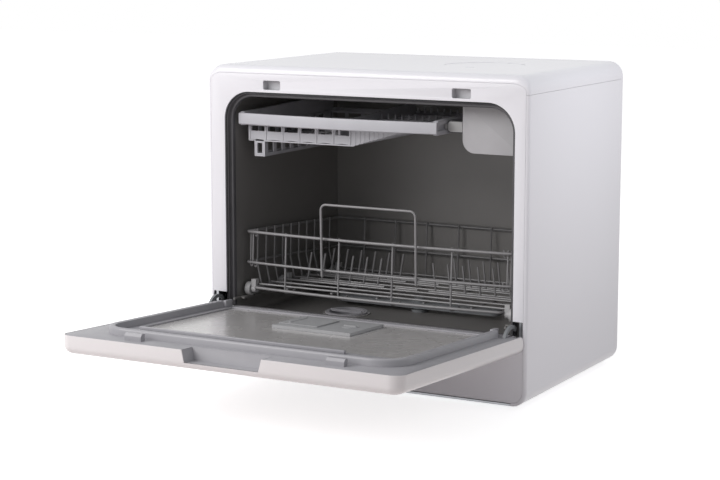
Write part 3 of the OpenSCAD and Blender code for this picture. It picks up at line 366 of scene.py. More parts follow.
def makeRepeatTree():
    tree, given, made = startTree("repeated shape")
    keys = dict(shape=socket(tree, "Shape", "NodeSocketObject", None),
                size=socket(tree, "Size", "NodeSocketFloat", 1.0),
                material=socket(tree, "Finish", "NodeSocketMaterial", None))
    shape = tree.nodes.new("GeometryNodeObjectInfo")
    copies = tree.nodes.new("GeometryNodeInstanceOnPoints")
    turn = tree.nodes.new("GeometryNodeInputNamedAttribute")
    turn.data_type = "FLOAT_VECTOR"
    turn.inputs["Name"].default_value = "turn"
    real = tree.nodes.new("GeometryNodeRealizeInstances")
    coat = tree.nodes.new("GeometryNodeSetMaterial")
    link = tree.links.new
    link(given.outputs["Shape"], shape.inputs["Object"])
    link(given.outputs["Geometry"], copies.inputs["Points"])
    link(shape.outputs["Geometry"], copies.inputs["Instance"])
    link(turn.outputs["Attribute"], copies.inputs["Rotation"])
    link(given.outputs["Size"], copies.inputs["Scale"])
    link(copies.outputs["Instances"], real.inputs["Geometry"])
    link(real.outputs["Geometry"], coat.inputs["Geometry"])
    link(given.outputs["Finish"], coat.inputs["Material"])
    link(coat.outputs["Geometry"], made.inputs["Geometry"])
    return tree, keys


wireTree, wireKeys = makeWireTree()
repeatTree, repeatKeys = makeRepeatTree()


# Round wires along paths of points; a path that ends where it starts is a closed loop
def wires(name, paths, radius, bend=6.0, sides=10, material=wireCoating):
    points, edges = [], []
    for path in paths:
        looped = path[0] == path[-1]
        first = len(points)
        run = path[:-1] if looped else path
        points += run
        edges += [(first + i, first + i + 1) for i in range(len(run) - 1)]
        if looped:
            edges.append((first + len(run) - 1, first))
    mesh = bpy.data.meshes.new(name)
    mesh.from_pydata(points, edges, [])
    item = bpy.data.objects.new(name, mesh)
    bpy.context.scene.collection.objects.link(item)
    step = item.modifiers.new("wires", "NODES")
    step.node_group = wireTree
    step[wireKeys["radius"]] = float(radius)
    step[wireKeys["bend"]] = float(bend)
    step[wireKeys["around"]] = sides
    step[wireKeys["material"]] = material
    return outwards(bake(item))


# Copies of one shape at the given places, each with its own turn
def repeated(name, shape, places, material, turns=None, size=1.0):
    mesh = bpy.data.meshes.new(name)
    mesh.from_pydata([tuple(p) for p in places], [], [])
    turnData = mesh.attributes.new("turn", "FLOAT_VECTOR", "POINT")
    for k in range(len(places)):
        turnData.data[k].vector = turns[k] if turns else (0, 0, 0)
    item = bpy.data.objects.new(name, mesh)
    bpy.context.scene.collection.objects.link(item)
    step = item.modifiers.new("copies", "NODES")
    step.node_group = repeatTree
    step[repeatKeys["shape"]] = shape
    step[repeatKeys["size"]] = float(size)
    step[repeatKeys["material"]] = material
    bake(item)
    bpy.data.objects.remove(shape)
    return item


# Camera, lamps and floor
shot = dict(place=(1.3503, -2.4544, 0.6851), turn=28.744, down=9.096, lens=93.5)
light = dict(world=0.42, floorTone=(0.86, 0.79, 0.775), floorGlow=0.68)
lamps = dict(
    key=dict(place=(-1.1, -1.6, 1.45), aim=(0, 0, 0.3), size=(1.6, 1.3), power=36,
             tone=(1.0, 0.985, 0.98), spread=180),
    side=dict(place=(0.95, 0.25, 0.72), aim=(0.275, 0.22, 0.54), size=(0.5, 0.5), power=0.62,
              tone=(0.95, 0.96, 1.0), spread=70, mirrored=False))


def makeCamera():
    data = bpy.data.cameras.new("camera")
    data.sensor_width = 36
    data.lens = shot["lens"]
    data.clip_end = 50
    camera = bpy.data.objects.new("camera", data)
    camera.location = shot["place"]
    camera.rotation_euler = (math.radians(90 - shot["down"]), 0, math.radians(shot["turn"]))
    bpy.context.scene.collection.objects.link(camera)
    bpy.context.scene.camera = camera


def areaLamp(name, place, aim, size, power, tone, spread, mirrored=True):
    data = bpy.data.lights.new(name, "AREA")
    data.shape = "RECTANGLE"
    data.size, data.size_y = size
    data.energy = power
    data.color = tone
    data.spread = math.radians(spread)
    lamp = bpy.data.objects.new(name, data)
    lamp.location = place
    lamp.rotation_euler = (Vector(aim) - Vector(place)).to_track_quat("-Z", "Y").to_euler()
    lamp.visible_camera = False
    lamp.visible_glossy = mirrored
    bpy.context.scene.collection.objects.link(lamp)


# One where any of the camera, mirror-like and see-through rays looks, else zero
def seenDirectly(tree, kinds):
    path = tree.nodes.new("ShaderNodeLightPath")
    found = path.outputs[kinds[0]]
    for kind in kinds[1:]:
        either = tree.nodes.new("ShaderNodeMath")
        either.operation = "MAXIMUM"
        tree.links.new(found, either.inputs[0])
        tree.links.new(path.outputs[kind], either.inputs[1])
        found = either.outputs["Value"]
    return found


def makeWorld():
    world = bpy.data.worlds.new("studio")
    bpy.context.scene.world = world
    world.use_nodes = True
    tree = world.node_tree
    tree.nodes.clear()
    out = tree.nodes.new("ShaderNodeOutputWorld")
    lit = tree.nodes.new("ShaderNodeBackground")
    seen = tree.nodes.new("ShaderNodeBackground")
    lit.inputs["Color"].default_value = (0.97, 0.98, 1.0, 1)
    lit.inputs["Strength"].default_value = light["world"]
    seen.inputs["Color"].default_value = (1, 1, 1, 1)
    seen.inputs["Strength"].default_value = 1.0
    mix = tree.nodes.new("ShaderNodeMixShader")
    found = seenDirectly(tree, ("Is Camera Ray", "Is Glossy Ray", "Is Transmission Ray"))
    tree.links.new(found, mix.inputs["Fac"])
    tree.links.new(lit.outputs["Background"], mix.inputs[1])
    tree.links.new(seen.outputs["Background"], mix.inputs[2])
    tree.links.new(mix.outputs["Shader"], out.inputs["Surface"])


def makeFloor():
    item = meshObject("floor", [(-9, -9, -0.0002), (9, -9, -0.0002), (9, 9, -0.0002), (-9, 9, -0.0002)],
                      [(0, 1, 2, 3)])
    material = bpy.data.materials.new("studio floor")
    material.use_nodes = True
    tree = material.node_tree
    tree.nodes.clear()
    out = tree.nodes.new("ShaderNodeOutputMaterial")
    matt = tree.nodes.new("ShaderNodeBsdfDiffuse")
    matt.inputs["Color"].default_value = (*light["floorTone"], 1)
    pale = tree.nodes.new("ShaderNodeBsdfDiffuse")
    pale.inputs["Color"].default_value = (0.9, 0.9, 0.9, 1)
    glow = tree.nodes.new("ShaderNodeEmission")
    glow.inputs["Color"].default_value = (1, 1, 1, 1)
    glow.inputs["Strength"].default_value = light["floorGlow"]
    both = tree.nodes.new("ShaderNodeAddShader")
    mix = tree.nodes.new("ShaderNodeMixShader")
    found = seenDirectly(tree, ("Is Camera Ray", "Is Glossy Ray", "Is Transmission Ray"))
    tree.links.new(found, mix.inputs["Fac"])
    tree.links.new(pale.outputs["BSDF"], both.inputs[0])
    tree.links.new(glow.outputs["Emission"], both.inputs[1])
    tree.links.new(matt.outputs["BSDF"], mix.inputs[1])
    tree.links.new(both.outputs["Shader"], mix.inputs[2])
    tree.links.new(mix.outputs["Shader"], out.inputs["Surface"])
    item.data.materials.append(material)


makeCamera()
makeWorld()
makeFloor()
for lampName, values in lamps.items():
    areaLamp(lampName, **values)
bpy.context.scene.view_settings.view_transform = "Standard"
print("camera and lamps placed")


# Cabinet covers: one cross-section carried round the outline, thicker at the brow than at the cheeks
cabinet = dict(half=275, base=4, top=494, depth=372, corner=24, brow=12, cheek=5, wall=2,
               seam=466, gap=0.2)
lid = dict(x=118, y=185, r=62, gap=0.6, pinY=246, pinR=1.06, pinDrop=1, lugIn=12.2, lugOut=16,
           notchGap=0.4, seatIn=14.6, seatOut=3.4, seatTop=1.8, seatStep=7, seatLow=9)


def browAt(nz):
    return cabinet["cheek"] + (cabinet["brow"] - cabinet["cheek"]) * smooth(nz)


# Stations (x, z, normal x, normal z) from the lower left corner over the top to the lower right one
def cabinetRun():
    half, base, top, r, seam = (cabinet[k] for k in ("half", "base", "top", "corner", "seam"))
    stations = []

    def straight(x0, z0, x1, z1, n, count):
        for i in range(count):
            t = i / count
            stations.append((x0 + (x1 - x0) * t, z0 + (z1 - z0) * t, *n))

    def bend(cx, cz, a0, a1, count=14):
        for i in range(count):
            a = math.radians(a0 + (a1 - a0) * i / count)
            stations.append((cx + r * math.cos(a), cz + r * math.sin(a), math.cos(a), math.sin(a)))

    bend(-half + r, base + r, -90, -180)
    straight(-half, base + r, -half, seam, (-1, 0), 8)
    stations.append((-half, seam, -1, 0))
    stations.append((-half, (seam + top - r) / 2, -1, 0))
    bend(-half + r, top - r, 180, 90)
    straight(-half + r, top, half - r, top, (0, 1), 10)
    bend(half - r, top - r, 90, 0)
    stations.append((half, top - r, 1, 0))
    stations.append((half, seam, 1, 0))
    straight(half, seam - 1, half, base + r, (1, 0), 8)
    bend(half - r, base + r, 0, -90)
    stations.append((half - r, base, 0, -1))
    return stations


def coverProfile(nz):
    brow = browAt(nz)
    wall, depth = cabinet["wall"], cabinet["depth"]
    lip = [(brow * (1 - math.sin(a)), brow * (1 - math.cos(a)))
           for a in (math.radians(9 * k) for k in range(11))]
    return ([(depth, 0), (depth * 0.6, 0), (brow + 6, 0)] + lip
            + [(0.5, brow + 0.35), (2.5, brow + 0.6), (brow + 5, wall + 0.2), (depth, wall)])


def coverPiece(name, stations):
    rings = []
    for x, z, nx, nz in stations:
        rings.append([(x - nx * e, y, z - nz * e) for y, e in coverProfile(max(nz, 0))])
    return loft(name, rings, closed=False)


def makeCovers():
    stations = cabinetRun()
    seamAt = [i for i, s in enumerate(stations) if s[1] == cabinet["seam"]]
    gap = cabinet["gap"]
    top = [list(s) for s in stations[seamAt[0]: seamAt[1] + 1]]
    top[0][1] += gap
    top[-1][1] += gap
    cover = coverPiece("topCoverShell", top)
    r, high, pinY = lid["r"] + lid["gap"], cabinet["top"], lid["pinY"]
    low, step, rimTop = high - lid["seatLow"], high - lid["seatStep"], high - lid["seatTop"]
    atLid = Matrix.Translation((lid["x"], lid["y"], 0))
    x0, x1 = (lid["x"] + side * (lid["lugOut"] + lid["notchGap"]) for side in (-1, 1))
    lidHole = lathe("lidHole", [(0.01, high - 24), (r, high - 24), (r, high + 6), (0.01, high + 6)], 72)
    lidHole.data.transform(atLid)
    hingeHole = slab("hingeHole", (x0, pinY - 2, low), (x1, lid["y"] + lid["r"] + 0.7, high + 6))
    cut(cover, [outwards(lidHole), hingeHole])
    inner, outer = r - lid["seatIn"], r + lid["seatOut"]
    seat = lathe("lidSeat", [(inner, low), (outer, low), (outer, rimTop), (r + 0.2, rimTop),
                             (r + 0.2, step), (inner, step)], 72)
    seat.data.transform(atLid)
    cut(seat, [slab("seatNotch", (x0, pinY - 2, high - 3), (x1, lid["y"] + lid["r"] + 6, high + 6))])
    lugs = []
    for side in (-1, 1):
        x0, x1 = sorted((lid["x"] + side * lid["lugIn"], lid["x"] + side * lid["lugOut"]))
        lug = slab("lidLug", (x0, pinY - 1.6, high - 3.5), (x1, lid["y"] + lid["r"] + 2, high))
        bore = lathe("bore", [(0.01, -20), (lid["pinR"], -20), (lid["pinR"], 20), (0.01, 20)], 20)
        bore.data.transform(Matrix.Translation((lid["x"] + side * 14, pinY, high - lid["pinDrop"]))
                            @ Matrix.Rotation(math.pi / 2, 4, "Y"))
        lugs.append(cut(lug, [outwards(bore)]))
    settle(join("topCover", [cover, seat, *lugs]), atCabinet, whiteEnamel, "cabinet", ["top_cover"])
    for name, run, seamEnd in (("left", stations[: seamAt[0] + 1], -1),
                               ("right", stations[seamAt[1]:], 0)):
        run = [list(s) for s in run]
        run[seamEnd][1] -= gap
        settle(coverPiece(name + "SideCover", run), atCabinet, whiteEnamel, "cabinet",
               [name + "_side_panel"])


makeCovers()
print("covers made")


# Front frame and kick plate
mouth = dict(half=249, z0=106, z1=453, corner=44, foot=3)
pockets = dict(x=162.3, width=31, z=457, height=14.6, corner=2.5)
notch = dict(inner=251, outer=269, mouth=244, z0=92, z1=133)
through = (-2, 6)  # cutters reach past the frame's two faces
plate = dict(kickTop=90, seam=0.4, thick=2.5, edge=0.9)


def frameOutline():
    points = []
    for x, z, nx, nz in cabinetRun():
        e = browAt(max(nz, 0)) + 0.5
        points.append((x - nx * e, z - nz * e))
    return points


def mouthOutline():
    half, foot, r = mouth["half"], mouth["foot"], mouth["corner"]
    return roundRect(tubShift - half, mouth["z0"], tubShift + half, mouth["z1"], (foot, foot, r, r), 14)


def makeFrontFrame():
    outline = frameOutline()
    foot = plate["kickTop"] + plate["seam"]
    upper = [p for p in outline if p[1] > foot]
    upper = [(upper[0][0], foot)] + upper + [(upper[-1][0], foot)]
    fascia = prismY("frontFrame", upper, 0, plate["thick"])
    y0, y1 = through
    inner, outer, low, high = (notch[k] for k in ("inner", "outer", "z0", "z1"))
    cutters = [prismY("mouthCut", mouthOutline(), y0, y1),
               slab("notchRight", (inner, y0, low), (outer, y1, high)),
               slab("notchLeft", (-outer, y0, low), (-inner, y1, high)),
               slab("notchMouth", (-outer, y0, mouth["z0"]), (-notch["mouth"], y1, high))]
    half, z = pockets["width"] / 2, pockets["z"]
    for side in (-1, 1):
        x = tubShift + side * pockets["x"]
        outlet = roundRect(x - half, z, x + half, z + pockets["height"], (pockets["corner"],) * 4, 5)
        cutters.append(prismY("pocketCut", outlet, y0, y1))
    cut(fascia, cutters)
    rounded(fascia, plate["edge"], 3, 50)
    settle(fascia, atCabinet, whiteEnamel, "cabinet", ["front_frame"])
    lower = [p for p in outline if p[1] < plate["kickTop"]]
    right = [p for p in lower if p[0] > 0]
    left = [p for p in lower if p[0] < 0]
    kick = [(right[0][0], plate["kickTop"])] + right + left + [(left[-1][0], plate["kickTop"])]
    kickPlate = rounded(prismY("kickPlate", kick, 0, plate["thick"]), plate["edge"], 3, 50)
    settle(kickPlate, atCabinet, whiteEnamel, "cabinet", ["kick_panel"])


makeFrontFrame()
print("front frame made")


# Door seal: a lip against the frame, painted near-black as painted shade for the shadowed gap between
# frame and seal, a soft grey band inside it and a sill strip below
sealShape = dict(
    lip=[(0.3, 2.6), (0.3, 7), (2.0, 7), (2.0, 3.2), (1.2, 2.6)],
    band=[(2.1, 4.2), (2.1, 7.1), (0.4, 7.1), (0.4, 16.9), (9, 16.9), (9, 13.2), (7.8, 11.0),
          (6.0, 10.6), (4.4, 10.9), (3.4, 9.6), (3.2, 5.0)],
    foot=110, sill=((-240, 12.6, 106.3), (248, 16.9, 110)))


def sealRing(name, profile):
    rings = []
    for inset, y in profile:
        r = mouth["corner"] - inset
        x0, x1 = tubShift - mouth["half"] + inset, tubShift + mouth["half"] - inset
        z1, foot = mouth["z1"] - inset, sealShape["foot"]
        path = ([(x0, foot)] + arc(x0 + r, z1 - r, r, 180, 90, 16)
                + arc(x1 - r, z1 - r, r, 90, 0, 16) + [(x1, foot)])
        rings.append([(x, y, z) for x, z in path])
    return strip(name, rings)


def makeSeal():
    # The lip's near-black is painted shade for the shadowed gap between the frame and the seal.
    settle(sealRing("sealLip", sealShape["lip"]), atCabinet, blackRubberAndGapShade, "cabinet", ["door_seal"])
    sill = rounded(slab("sealSill", *sealShape["sill"]), 0.8)
    band = join("sealBand", [sealRing("sealRing", sealShape["band"]), sill])
    settle(band, atCabinet, sealRubber, "cabinet", slotName=slotOf["door_seal"])


makeSeal()
print("seal made")


# Housing of the air outlet in the upper right corner of the tub
duct = dict(x0=145, x1=243.6, y0=50, y1=200, z0=371, z1=446.6, low=20, high=19, wall=2.5,
            slots=6, slotX=170, slotPitch=11, slotWidth=6, slotY=(90, 170))


def makeDuctCover():
    x0, x1, y0, y1, z0, z1, low, high, w = (duct[k] for k in (
        "x0", "x1", "y0", "y1", "z0", "z1", "low", "high", "wall"))
    near, far = duct["slotY"]
    box = prismY("ductCover", roundRect(x0, z0, x1, z1, (low, 0.5, high, 0.5)), y0, y1)
    starts = [duct["slotX"] + i * duct["slotPitch"] for i in range(duct["slots"])]
    slots = [slab("slot", (x, near, z0 - 11), (x + duct["slotWidth"], far, z0 + 7)) for x in starts]
    hollow = prismY("hollow", roundRect(x0 + w, z0 + w, x1 - w, z1 - w, (low - w, 0.5, high - w, 0.5)),
                    y0 + w, y1 + 5)
    cut(box, slots + [hollow])
    rounded(box, 1.2, 3, 50)
    settle(box, atCabinet, ductPlastic, "cabinet", ["air_duct_cover"])


makeDuctCover()
print("duct cover made")


# Door: outer skin, inner liner with its raised rim, and a grip scooped out of the upper edge
door = dict(half=273, z0=92.2, z1=487.5, y0=-28.2, y1=-1.2, edge=12, corner=20, foot=6, wall=2.2)
grip = dict(end=64, slant=4.5, z=460.5, lip=9, wall=1.4)
controlStrip = dict(x0=95.7, x1=246.3, z0=435.7, z1=470.3)
liner = dict(inset=2.4, foot=99.2, corner=17.5, thick=2.2)
doorPanel = dict(half=222, z0=116, z1=372, foot=4, corner=20)
hingeSlots = ((264.75, 4.25, 111.5), (255.3, 2.5, 131.5))  # middle, half width and top of each


def doorRing(y, inset, lift):
    r = max(door["corner"] - inset, 0.8)
    f = max(door["foot"] - inset, 0.8)
    points = roundRect(-door["half"] + inset, door["z0"] + inset + lift, door["half"] - inset,
                       door["z1"] - inset, (f, f, r, r), 10)
    return [(x, y, z) for x, z in points]


def hingeCutters():
    cutters = []
    for side in (-1, 1):
        for x, w, top in hingeSlots:
            x0, x1 = sorted((side * (x - w), side * (x + w)))
            cutters.append(slab("hingeSlot", (x0, -20, 80), (x1, 5, top)))
    return cutters


# Outline of the grip seen from above the closed door, widened by e, out to the given plane
def gripOutline(e, y1):
    lip, end, slant = door["y0"] + grip["lip"] - e, grip["end"] + e, grip["slant"]
    return [(-end + slant, lip), (end - slant, lip), (end, door["y1"]), (end, y1), (-end, y1),
            (-end, door["y1"])]


def makeDoorSkin():
    y0, y1, edge, wall = door["y0"], door["y1"], door["edge"], door["wall"]
    sections = [(y1 + 0.05, 0.5, hinge["reach"] * 0.86)]
    for y in (y1 - 0.4, y1 - 1.2, y1 - 3, y1 - 6, y0 + edge):
        across = max(0.0, y + hinge["out"])
        lift = hinge["reach"] - math.sqrt(max(hinge["reach"] ** 2 - across ** 2, 0.0))
        sections.append((y, 0.0, lift))
    for k in range(1, 10):
        a = math.radians(10 * k)
        sections.append((y0 + edge * (1 - math.sin(a)), edge * (1 - math.cos(a)), 0.0))
    sections += [(y0, edge + 8, 0.0), (y0, edge + 60, 0.0)]
    outer = [doorRing(*s) for s in sections]
    inner = [doorRing(y0 + wall, edge + 60, 0.0), doorRing(y0 + wall, edge + wall, 0.0),
             doorRing(y0 + edge, wall, 0.0), doorRing(y1 - 5, wall, 4.0), doorRing(y1 - 3.6, wall, 9.6)]
    count, total = len(outer[0]), len(outer) + len(inner)
    points = [p for ring in outer + inner for p in ring]
    faces = [tuple((len(outer) - 1) * count + i for i in range(count)),
             tuple(len(outer) * count + i for i in range(count))]
    for k in range(total):
        if k != len(outer) - 1:
            a, b = k * count, ((k + 1) % total) * count
            faces += [(a + i, a + (i + 1) % count, b + (i + 1) % count, b + i) for i in range(count)]
    skin = outwards(meshObject("doorSkin", points, faces))
    cutters = [prismZ("gripCut", gripOutline(0, 6), grip["z"], door["z1"] + 3),
               slab("stripCut", (controlStrip["x0"], y0 - 3, controlStrip["z0"]),
                    (controlStrip["x1"], y0 + 5, controlStrip["z1"]))]
    cut(skin, cutters + hingeCutters())
    # The skin takes the door enamel, which is darker than the cabinet white as painted shade.
    settle(skin, atDoor, shadedDoorEnamel, "door", ["door_skin"])


def makeGripPocket():
    top, w = door["z1"] - 1.2, grip["wall"]
    block = prismZ("gripPocket", gripOutline(w, door["y1"] + 0.2), grip["z"] - w, top)
    cut(block, [prismZ("hollow", gripOutline(0, door["y1"] + 4), grip["z"], top + 5)])
    return rounded(block, 0.45, 2, 40)


def makeLiner():
    y1, w = door["y1"], grip["wall"] - 0.5
    foot, corner, inset, back = doorPanel["foot"], liner["corner"], liner["inset"], y1 - liner["thick"]
    outline = roundRect(-door["half"] + inset, liner["foot"], door["half"] - inset, door["z1"] - inset,
                        (foot, foot, corner, corner))
    hole = roundRect(tubShift - doorPanel["half"], doorPanel["z0"], tubShift + doorPanel["half"],
                     doorPanel["z1"], (foot, foot, doorPanel["corner"], doorPanel["corner"]))
    sheet = loft("linerSheet", [[(x, y, z) for x, z in path] for path, y in
                                ((outline, y1), (outline, back), (hole, back), (hole, y1))])
    gripHole = slab("gripHole", (-grip["end"] - w, -10, grip["z"] - w),
                    (grip["end"] + w, 5, door["z1"] + 5))
    cut(sheet, [gripHole] + hingeCutters())
    rounded(sheet, 0.7, 2, 50)
    settle(join("doorLiner", [sheet, makeGripPocket()]), atDoor, linerPlastic, "door", ["door_liner"])


rim = dict(out=242, z0=126.6, z1=445, corner=44, footX=(228, 233.8), footZ=107, height=10.65,
           ribX=(-206, 134), ribZ=(380, 386), ribHeight=5)


def makeRim():
    y1, top = door["y1"] + 0.05, rim["height"]
    profile = [(0, 0), (0.5, 7.5), (1.2, 9.6), (2.6, top), (7.2, top), (8.8, 9.8), (9.6, 7.5), (10, 0)]
    rings = []
    for inset, h in profile:
        r = rim["corner"] - inset
        x, z1 = rim["out"] - inset, rim["z1"] - inset
        path = ([(-x, rim["z0"])] + arc(-x + r, z1 - r, r, 180, 90, 18)
                + arc(x - r, z1 - r, r, 90, 0, 18) + [(x, rim["z0"])])
        rings.append([(px + tubShift, y1 + h, pz) for px, pz in path])
    parts = [strip("rimBead", rings)]
    for side in (-1, 1):
        x0, x1 = sorted(side * x + tubShift for x in rim["footX"])
        foot = slab("rimFoot", (x0, y1, rim["footZ"]), (x1, y1 + top, rim["z0"] - 0.1))
        parts.append(rounded(foot, 0.8))
    (x0, x1), (z0, z1) = rim["ribX"], rim["ribZ"]
    parts.append(rounded(slab("linerRib", (x0, y1, z0), (x1, y1 + rim["ribHeight"], z1)), 1.0))
    settle(join("linerRim", parts), atDoor, linerPlastic, "door", ["liner_rim"])


makeDoorSkin()
makeLiner()
makeRim()
print("door made")


# Lower rack, along and above the rails
rack = dict(half=232.7, y0=32, y1=332, bow=18, top=115, middle=66, low=26, lowHalf=216,
            hoop=2.3, midHoop=2.0, thin=1.6, post=1.55, lift=3)
posts = dict(front=(-157, -57, 37, 135), foot=22, footH=21.6, side=[58 + 26 * k for k in range(10)],
             cross=[46 + 38 * k for k in range(8)], length=(-162, -81, 0, 81, 162),
             rear=[-180 + 60 * k for k in range(7)], corner=(10.2, 5.0))
handle = dict(x=82, top=170, lean=9, foot=57, r=1.95, bend=9)
tines = dict(rows=(141, 217), first=52, step=26, count=6, height=44, lean=8,
             bars=((-196, -40), (-20, 20), (40, 196)))
wheel = dict(x=231.4, r=11, half=4.4, hub=5, bore=2.6, web=0.7, spokes=6, height=22,
             rows=(("front", 42), ("mid", 146), ("rear", 316)))
bowRadius = (rack["half"] ** 2 + rack["bow"] ** 2) / (2 * rack["bow"])
inside = rack["hoop"] + rack["thin"]


def frontY(x):
    return rack["y0"] - rack["bow"] + bowRadius - math.sqrt(bowRadius ** 2 - x * x)


def hoopPath(half, h):
    front = [(-half + 2 * half * i / 24, frontY(-half + 2 * half * i / 24), h) for i in range(25)]
    loop = front + [(half, rack["y1"], h), (-half, rack["y1"], h)]
    return loop + [loop[0]]


def uprightPaths():
    half, low, lowHalf = rack["half"], rack["low"], rack["lowHalf"]
    crown, floorH, x = rack["top"] + rack["lift"], low + inside, half - inside
    paths = [[(-lowHalf - 2, y, floorH), (lowHalf + 2, y, floorH)] for y in posts["cross"]]
    for side in (-1, 1):
        for y in posts["side"]:
            paths.append([(side * x, y, crown), (side * x, y, rack["middle"] - 4),
                          (side * (lowHalf + 4), y, low + 1)])
        near, far = (half - d for d in posts["corner"])
        y0, y1 = frontY(near) + inside, frontY(far) + inside
        paths.append([(side * near, y0, crown), (side * near, y0, rack["middle"] - 6),
                      (side * far, y1 + 1, rack["middle"] - 6), (side * far, y1 + 1, crown)])
        for h in (rack["top"], rack["middle"]):
            paths.append([(side * (near - 7), y0 + 0.4, h + 4.5), (side * (near - 7), y0 + 0.4, h - 7),
                          (side * (near - 1), y0 + 3.6, h - 7), (side * (near - 1), y0 + 3.6, h + 4.5)])
    for x in posts["front"]:
        y = frontY(x) + inside + 0.3
        paths.append([(x, y, crown), (x, y, posts["footH"]), (x, y + posts["foot"], posts["footH"]),
                      (x, y + posts["foot"] + 9, low - 1)])
    for x in posts["length"]:
        paths.append([(x, rack["y0"] + 8, floorH - 2 * rack["thin"]),
                      (x, rack["y1"] - 7.6, floorH - 2 * rack["thin"])])
    for x in posts["rear"]:
        paths.append([(x, rack["y1"] - inside, crown), (x, rack["y1"] - inside, low - 3)])
    return paths


def makeRack():
    hoops = wires("rackHoops", [hoopPath(rack["half"], rack["top"]),
                                hoopPath(rack["lowHalf"], rack["low"])], rack["hoop"], 7, 12)
    middle = wires("rackMiddle", [hoopPath(rack["half"], rack["middle"])], rack["midHoop"], 7, 12)
    uprights = wires("rackUprights", uprightPaths(), rack["post"], 5, 8)
    x, r = handle["x"], handle["r"]
    y = frontY(x) - rack["hoop"] - r - 0.3
    grab = wires("rackGrab", [[(-x, y, handle["foot"]), (-x, y - handle["lean"], handle["top"]),
                               (x, y - handle["lean"], handle["top"]), (x, y, handle["foot"])]],
                 r, handle["bend"], 12)
    settle(join("rackFrame", [hoops, middle, uprights, grab]), atRails, wireCoating, "rack",
           ["rack_frame"])


def makeTines():
    thin = rack["thin"]
    base = rack["low"] + inside + 0.05
    lean = math.tan(math.radians(tines["lean"])) * tines["height"]
    paths = []
    for y in tines["rows"]:
        paths += [[(x0, y, base), (x1, y, base)] for x0, x1 in tines["bars"]]
        for side in (-1, 1):
            for i in range(tines["count"]):
                x = side * (tines["first"] + tines["step"] * i)
                paths.append([(x, y, base + thin), (x - side * lean, y, base + thin + tines["height"])])
    settle(wires("rackTines", paths, thin, 3, 8), atRails, wireCoating, "rack", ["rack_tines"])


def makeWheel(name, node, side, y):
    r, half, core, web = (wheel[k] for k in ("r", "half", "hub", "web"))
    tread = lathe("tread", [(r - 2.9, -half), (r - 0.7, -half), (r, 0.8 - half), (r, half - 0.8),
                            (r - 0.7, half), (r - 2.9, half), (r - 3.2, 0)], 40)
    hub = lathe("hub", [(wheel["bore"], -half), (core - 0.6, -half), (core, 1 - half), (core, half - 1),
                        (core - 0.6, half), (wheel["bore"], half)], 28)
    disc = lathe("web", [(core - 0.4, -web), (r - 2.7, -web), (r - 2.7, web), (core - 0.4, web)], 40)
    spoke = rounded(slab("spoke", (core - 0.6, -0.9, -3.0), (r - 2.5, 0.9, 3.0)), 0.4, 2)
    turns = [(0, 0, 2 * math.pi * k / wheel["spokes"]) for k in range(wheel["spokes"])]
    spokes = repeated("spokes", spoke, [(0, 0, 0)] * wheel["spokes"], wheelPlastic, turns)
    whole = join(name, [tread, hub, disc, spokes])
    whole.data.transform(Matrix.Translation((side * wheel["x"], y, wheel["height"]))
                         @ Matrix.Rotation(math.pi / 2, 4, "Y"))
    settle(whole, atRails, wheelPlastic, node, [node])


makeRack()
makeTines()
for row, wheelY in wheel["rows"]:
    for sign, word in ((-1, "left"), (1, "right")):
        makeWheel(f"{row}{word.title()}Wheel", f"wheel_{row}_{word}", sign, wheelY)
print("rack made")


# Cutlery tray: bowed bar, grooved rails, bed with a knife slot, ramp, shelf, prongs and divider
tray = dict(x0=-229, x1=118, y0=16, y1=306, z0=400, height=18, bow=12, bar=5, rail=8, wall=2,
            railLow=398, grooveLow=404.5, grooveHigh=413.5, groove=3, railTop=419.5, rise=8)
bed = dict(x0=-220.9, x1=-36, y0=32, y1=294, z=373, pitch=30.45, sill=389, head=397)
well = dict(x0=-210, x1=-191, z=349)
windows = dict(first=10, pitch=26, width=18, count=9, margin=3, holeStart=8)
shelf = dict(z=402, x0=-56, x1=110, ramp=44, rampDrop=5.3, step=27, count=10)
prongs = dict(rows=(160, 287), first=-50, step=12, count=10, strip=(-55, 65))
divider = dict(x0=-60, x1=-56, front=410, rear=421, knob=427)


def bar(low, high, soft=0.5):
    return rounded(slab("bar", low, high), soft, 2)


def trayBar():
    x0, x1, z0, t = tray["x0"], tray["x1"], tray["z0"], tray["bar"]
    middle, half, bow = (x0 + x1) / 2, (x1 - x0) / 2, tray["bow"]
    big = (half ** 2 + bow ** 2) / (2 * bow)
    top = tray["height"]
    profile = [(0, 1.2), (0, top - 1.6), (0.5, top - 0.5), (1.6, top), (t - 0.8, top), (t, top - 0.8),
               (t, 1), (t - 0.8, 0), (1.2, 0)]
    rings = []
    for i in range(33):
        x = x0 + (x1 - x0) * i / 32
        y = tray["y0"] - bow + big - math.sqrt(big ** 2 - (x - middle) ** 2)
        rings.append([(x, y + d, z0 + h) for d, h in profile])
    return loft("frontBar", rings, closed=False)


def trayRail(x, inward):
    foot, low, high = tray["railLow"], tray["grooveLow"], tray["grooveHigh"]
    w, web = tray["rail"], tray["rail"] - tray["groove"]
    rings = []
    for y, lift in ((tray["y0"] + tray["bar"] + 0.1, 0), (tray["y1"], tray["rise"])):
        top = tray["railTop"] + lift
        section = [(0, foot), (w, foot), (w, top), (0, top), (0, high), (web, high), (web, low),
                   (0, low)]
        rings.append([(x + inward * a, y, z) for a, z in section])
    return rounded(loft("rail", rings, closed=False), 0.9, 3, 40)


# Wall with a row of windows; along is the wall's own direction, x or y
def windowWall(name, low, high, along, spans, z0, z1):
    wall = slab(name, low, high)
    cutters = []
    for a, b in spans:
        lowCut, highCut = ((a, low[1] - 2, z0), (b, high[1] + 2, z1)) if along == "x" else (
            (low[0] - 2, a, z0), (high[0] + 2, b, z1))
        cutters.append(slab("window", lowCut, highCut))
    return rounded(cut(wall, cutters), 0.35, 2, 50)


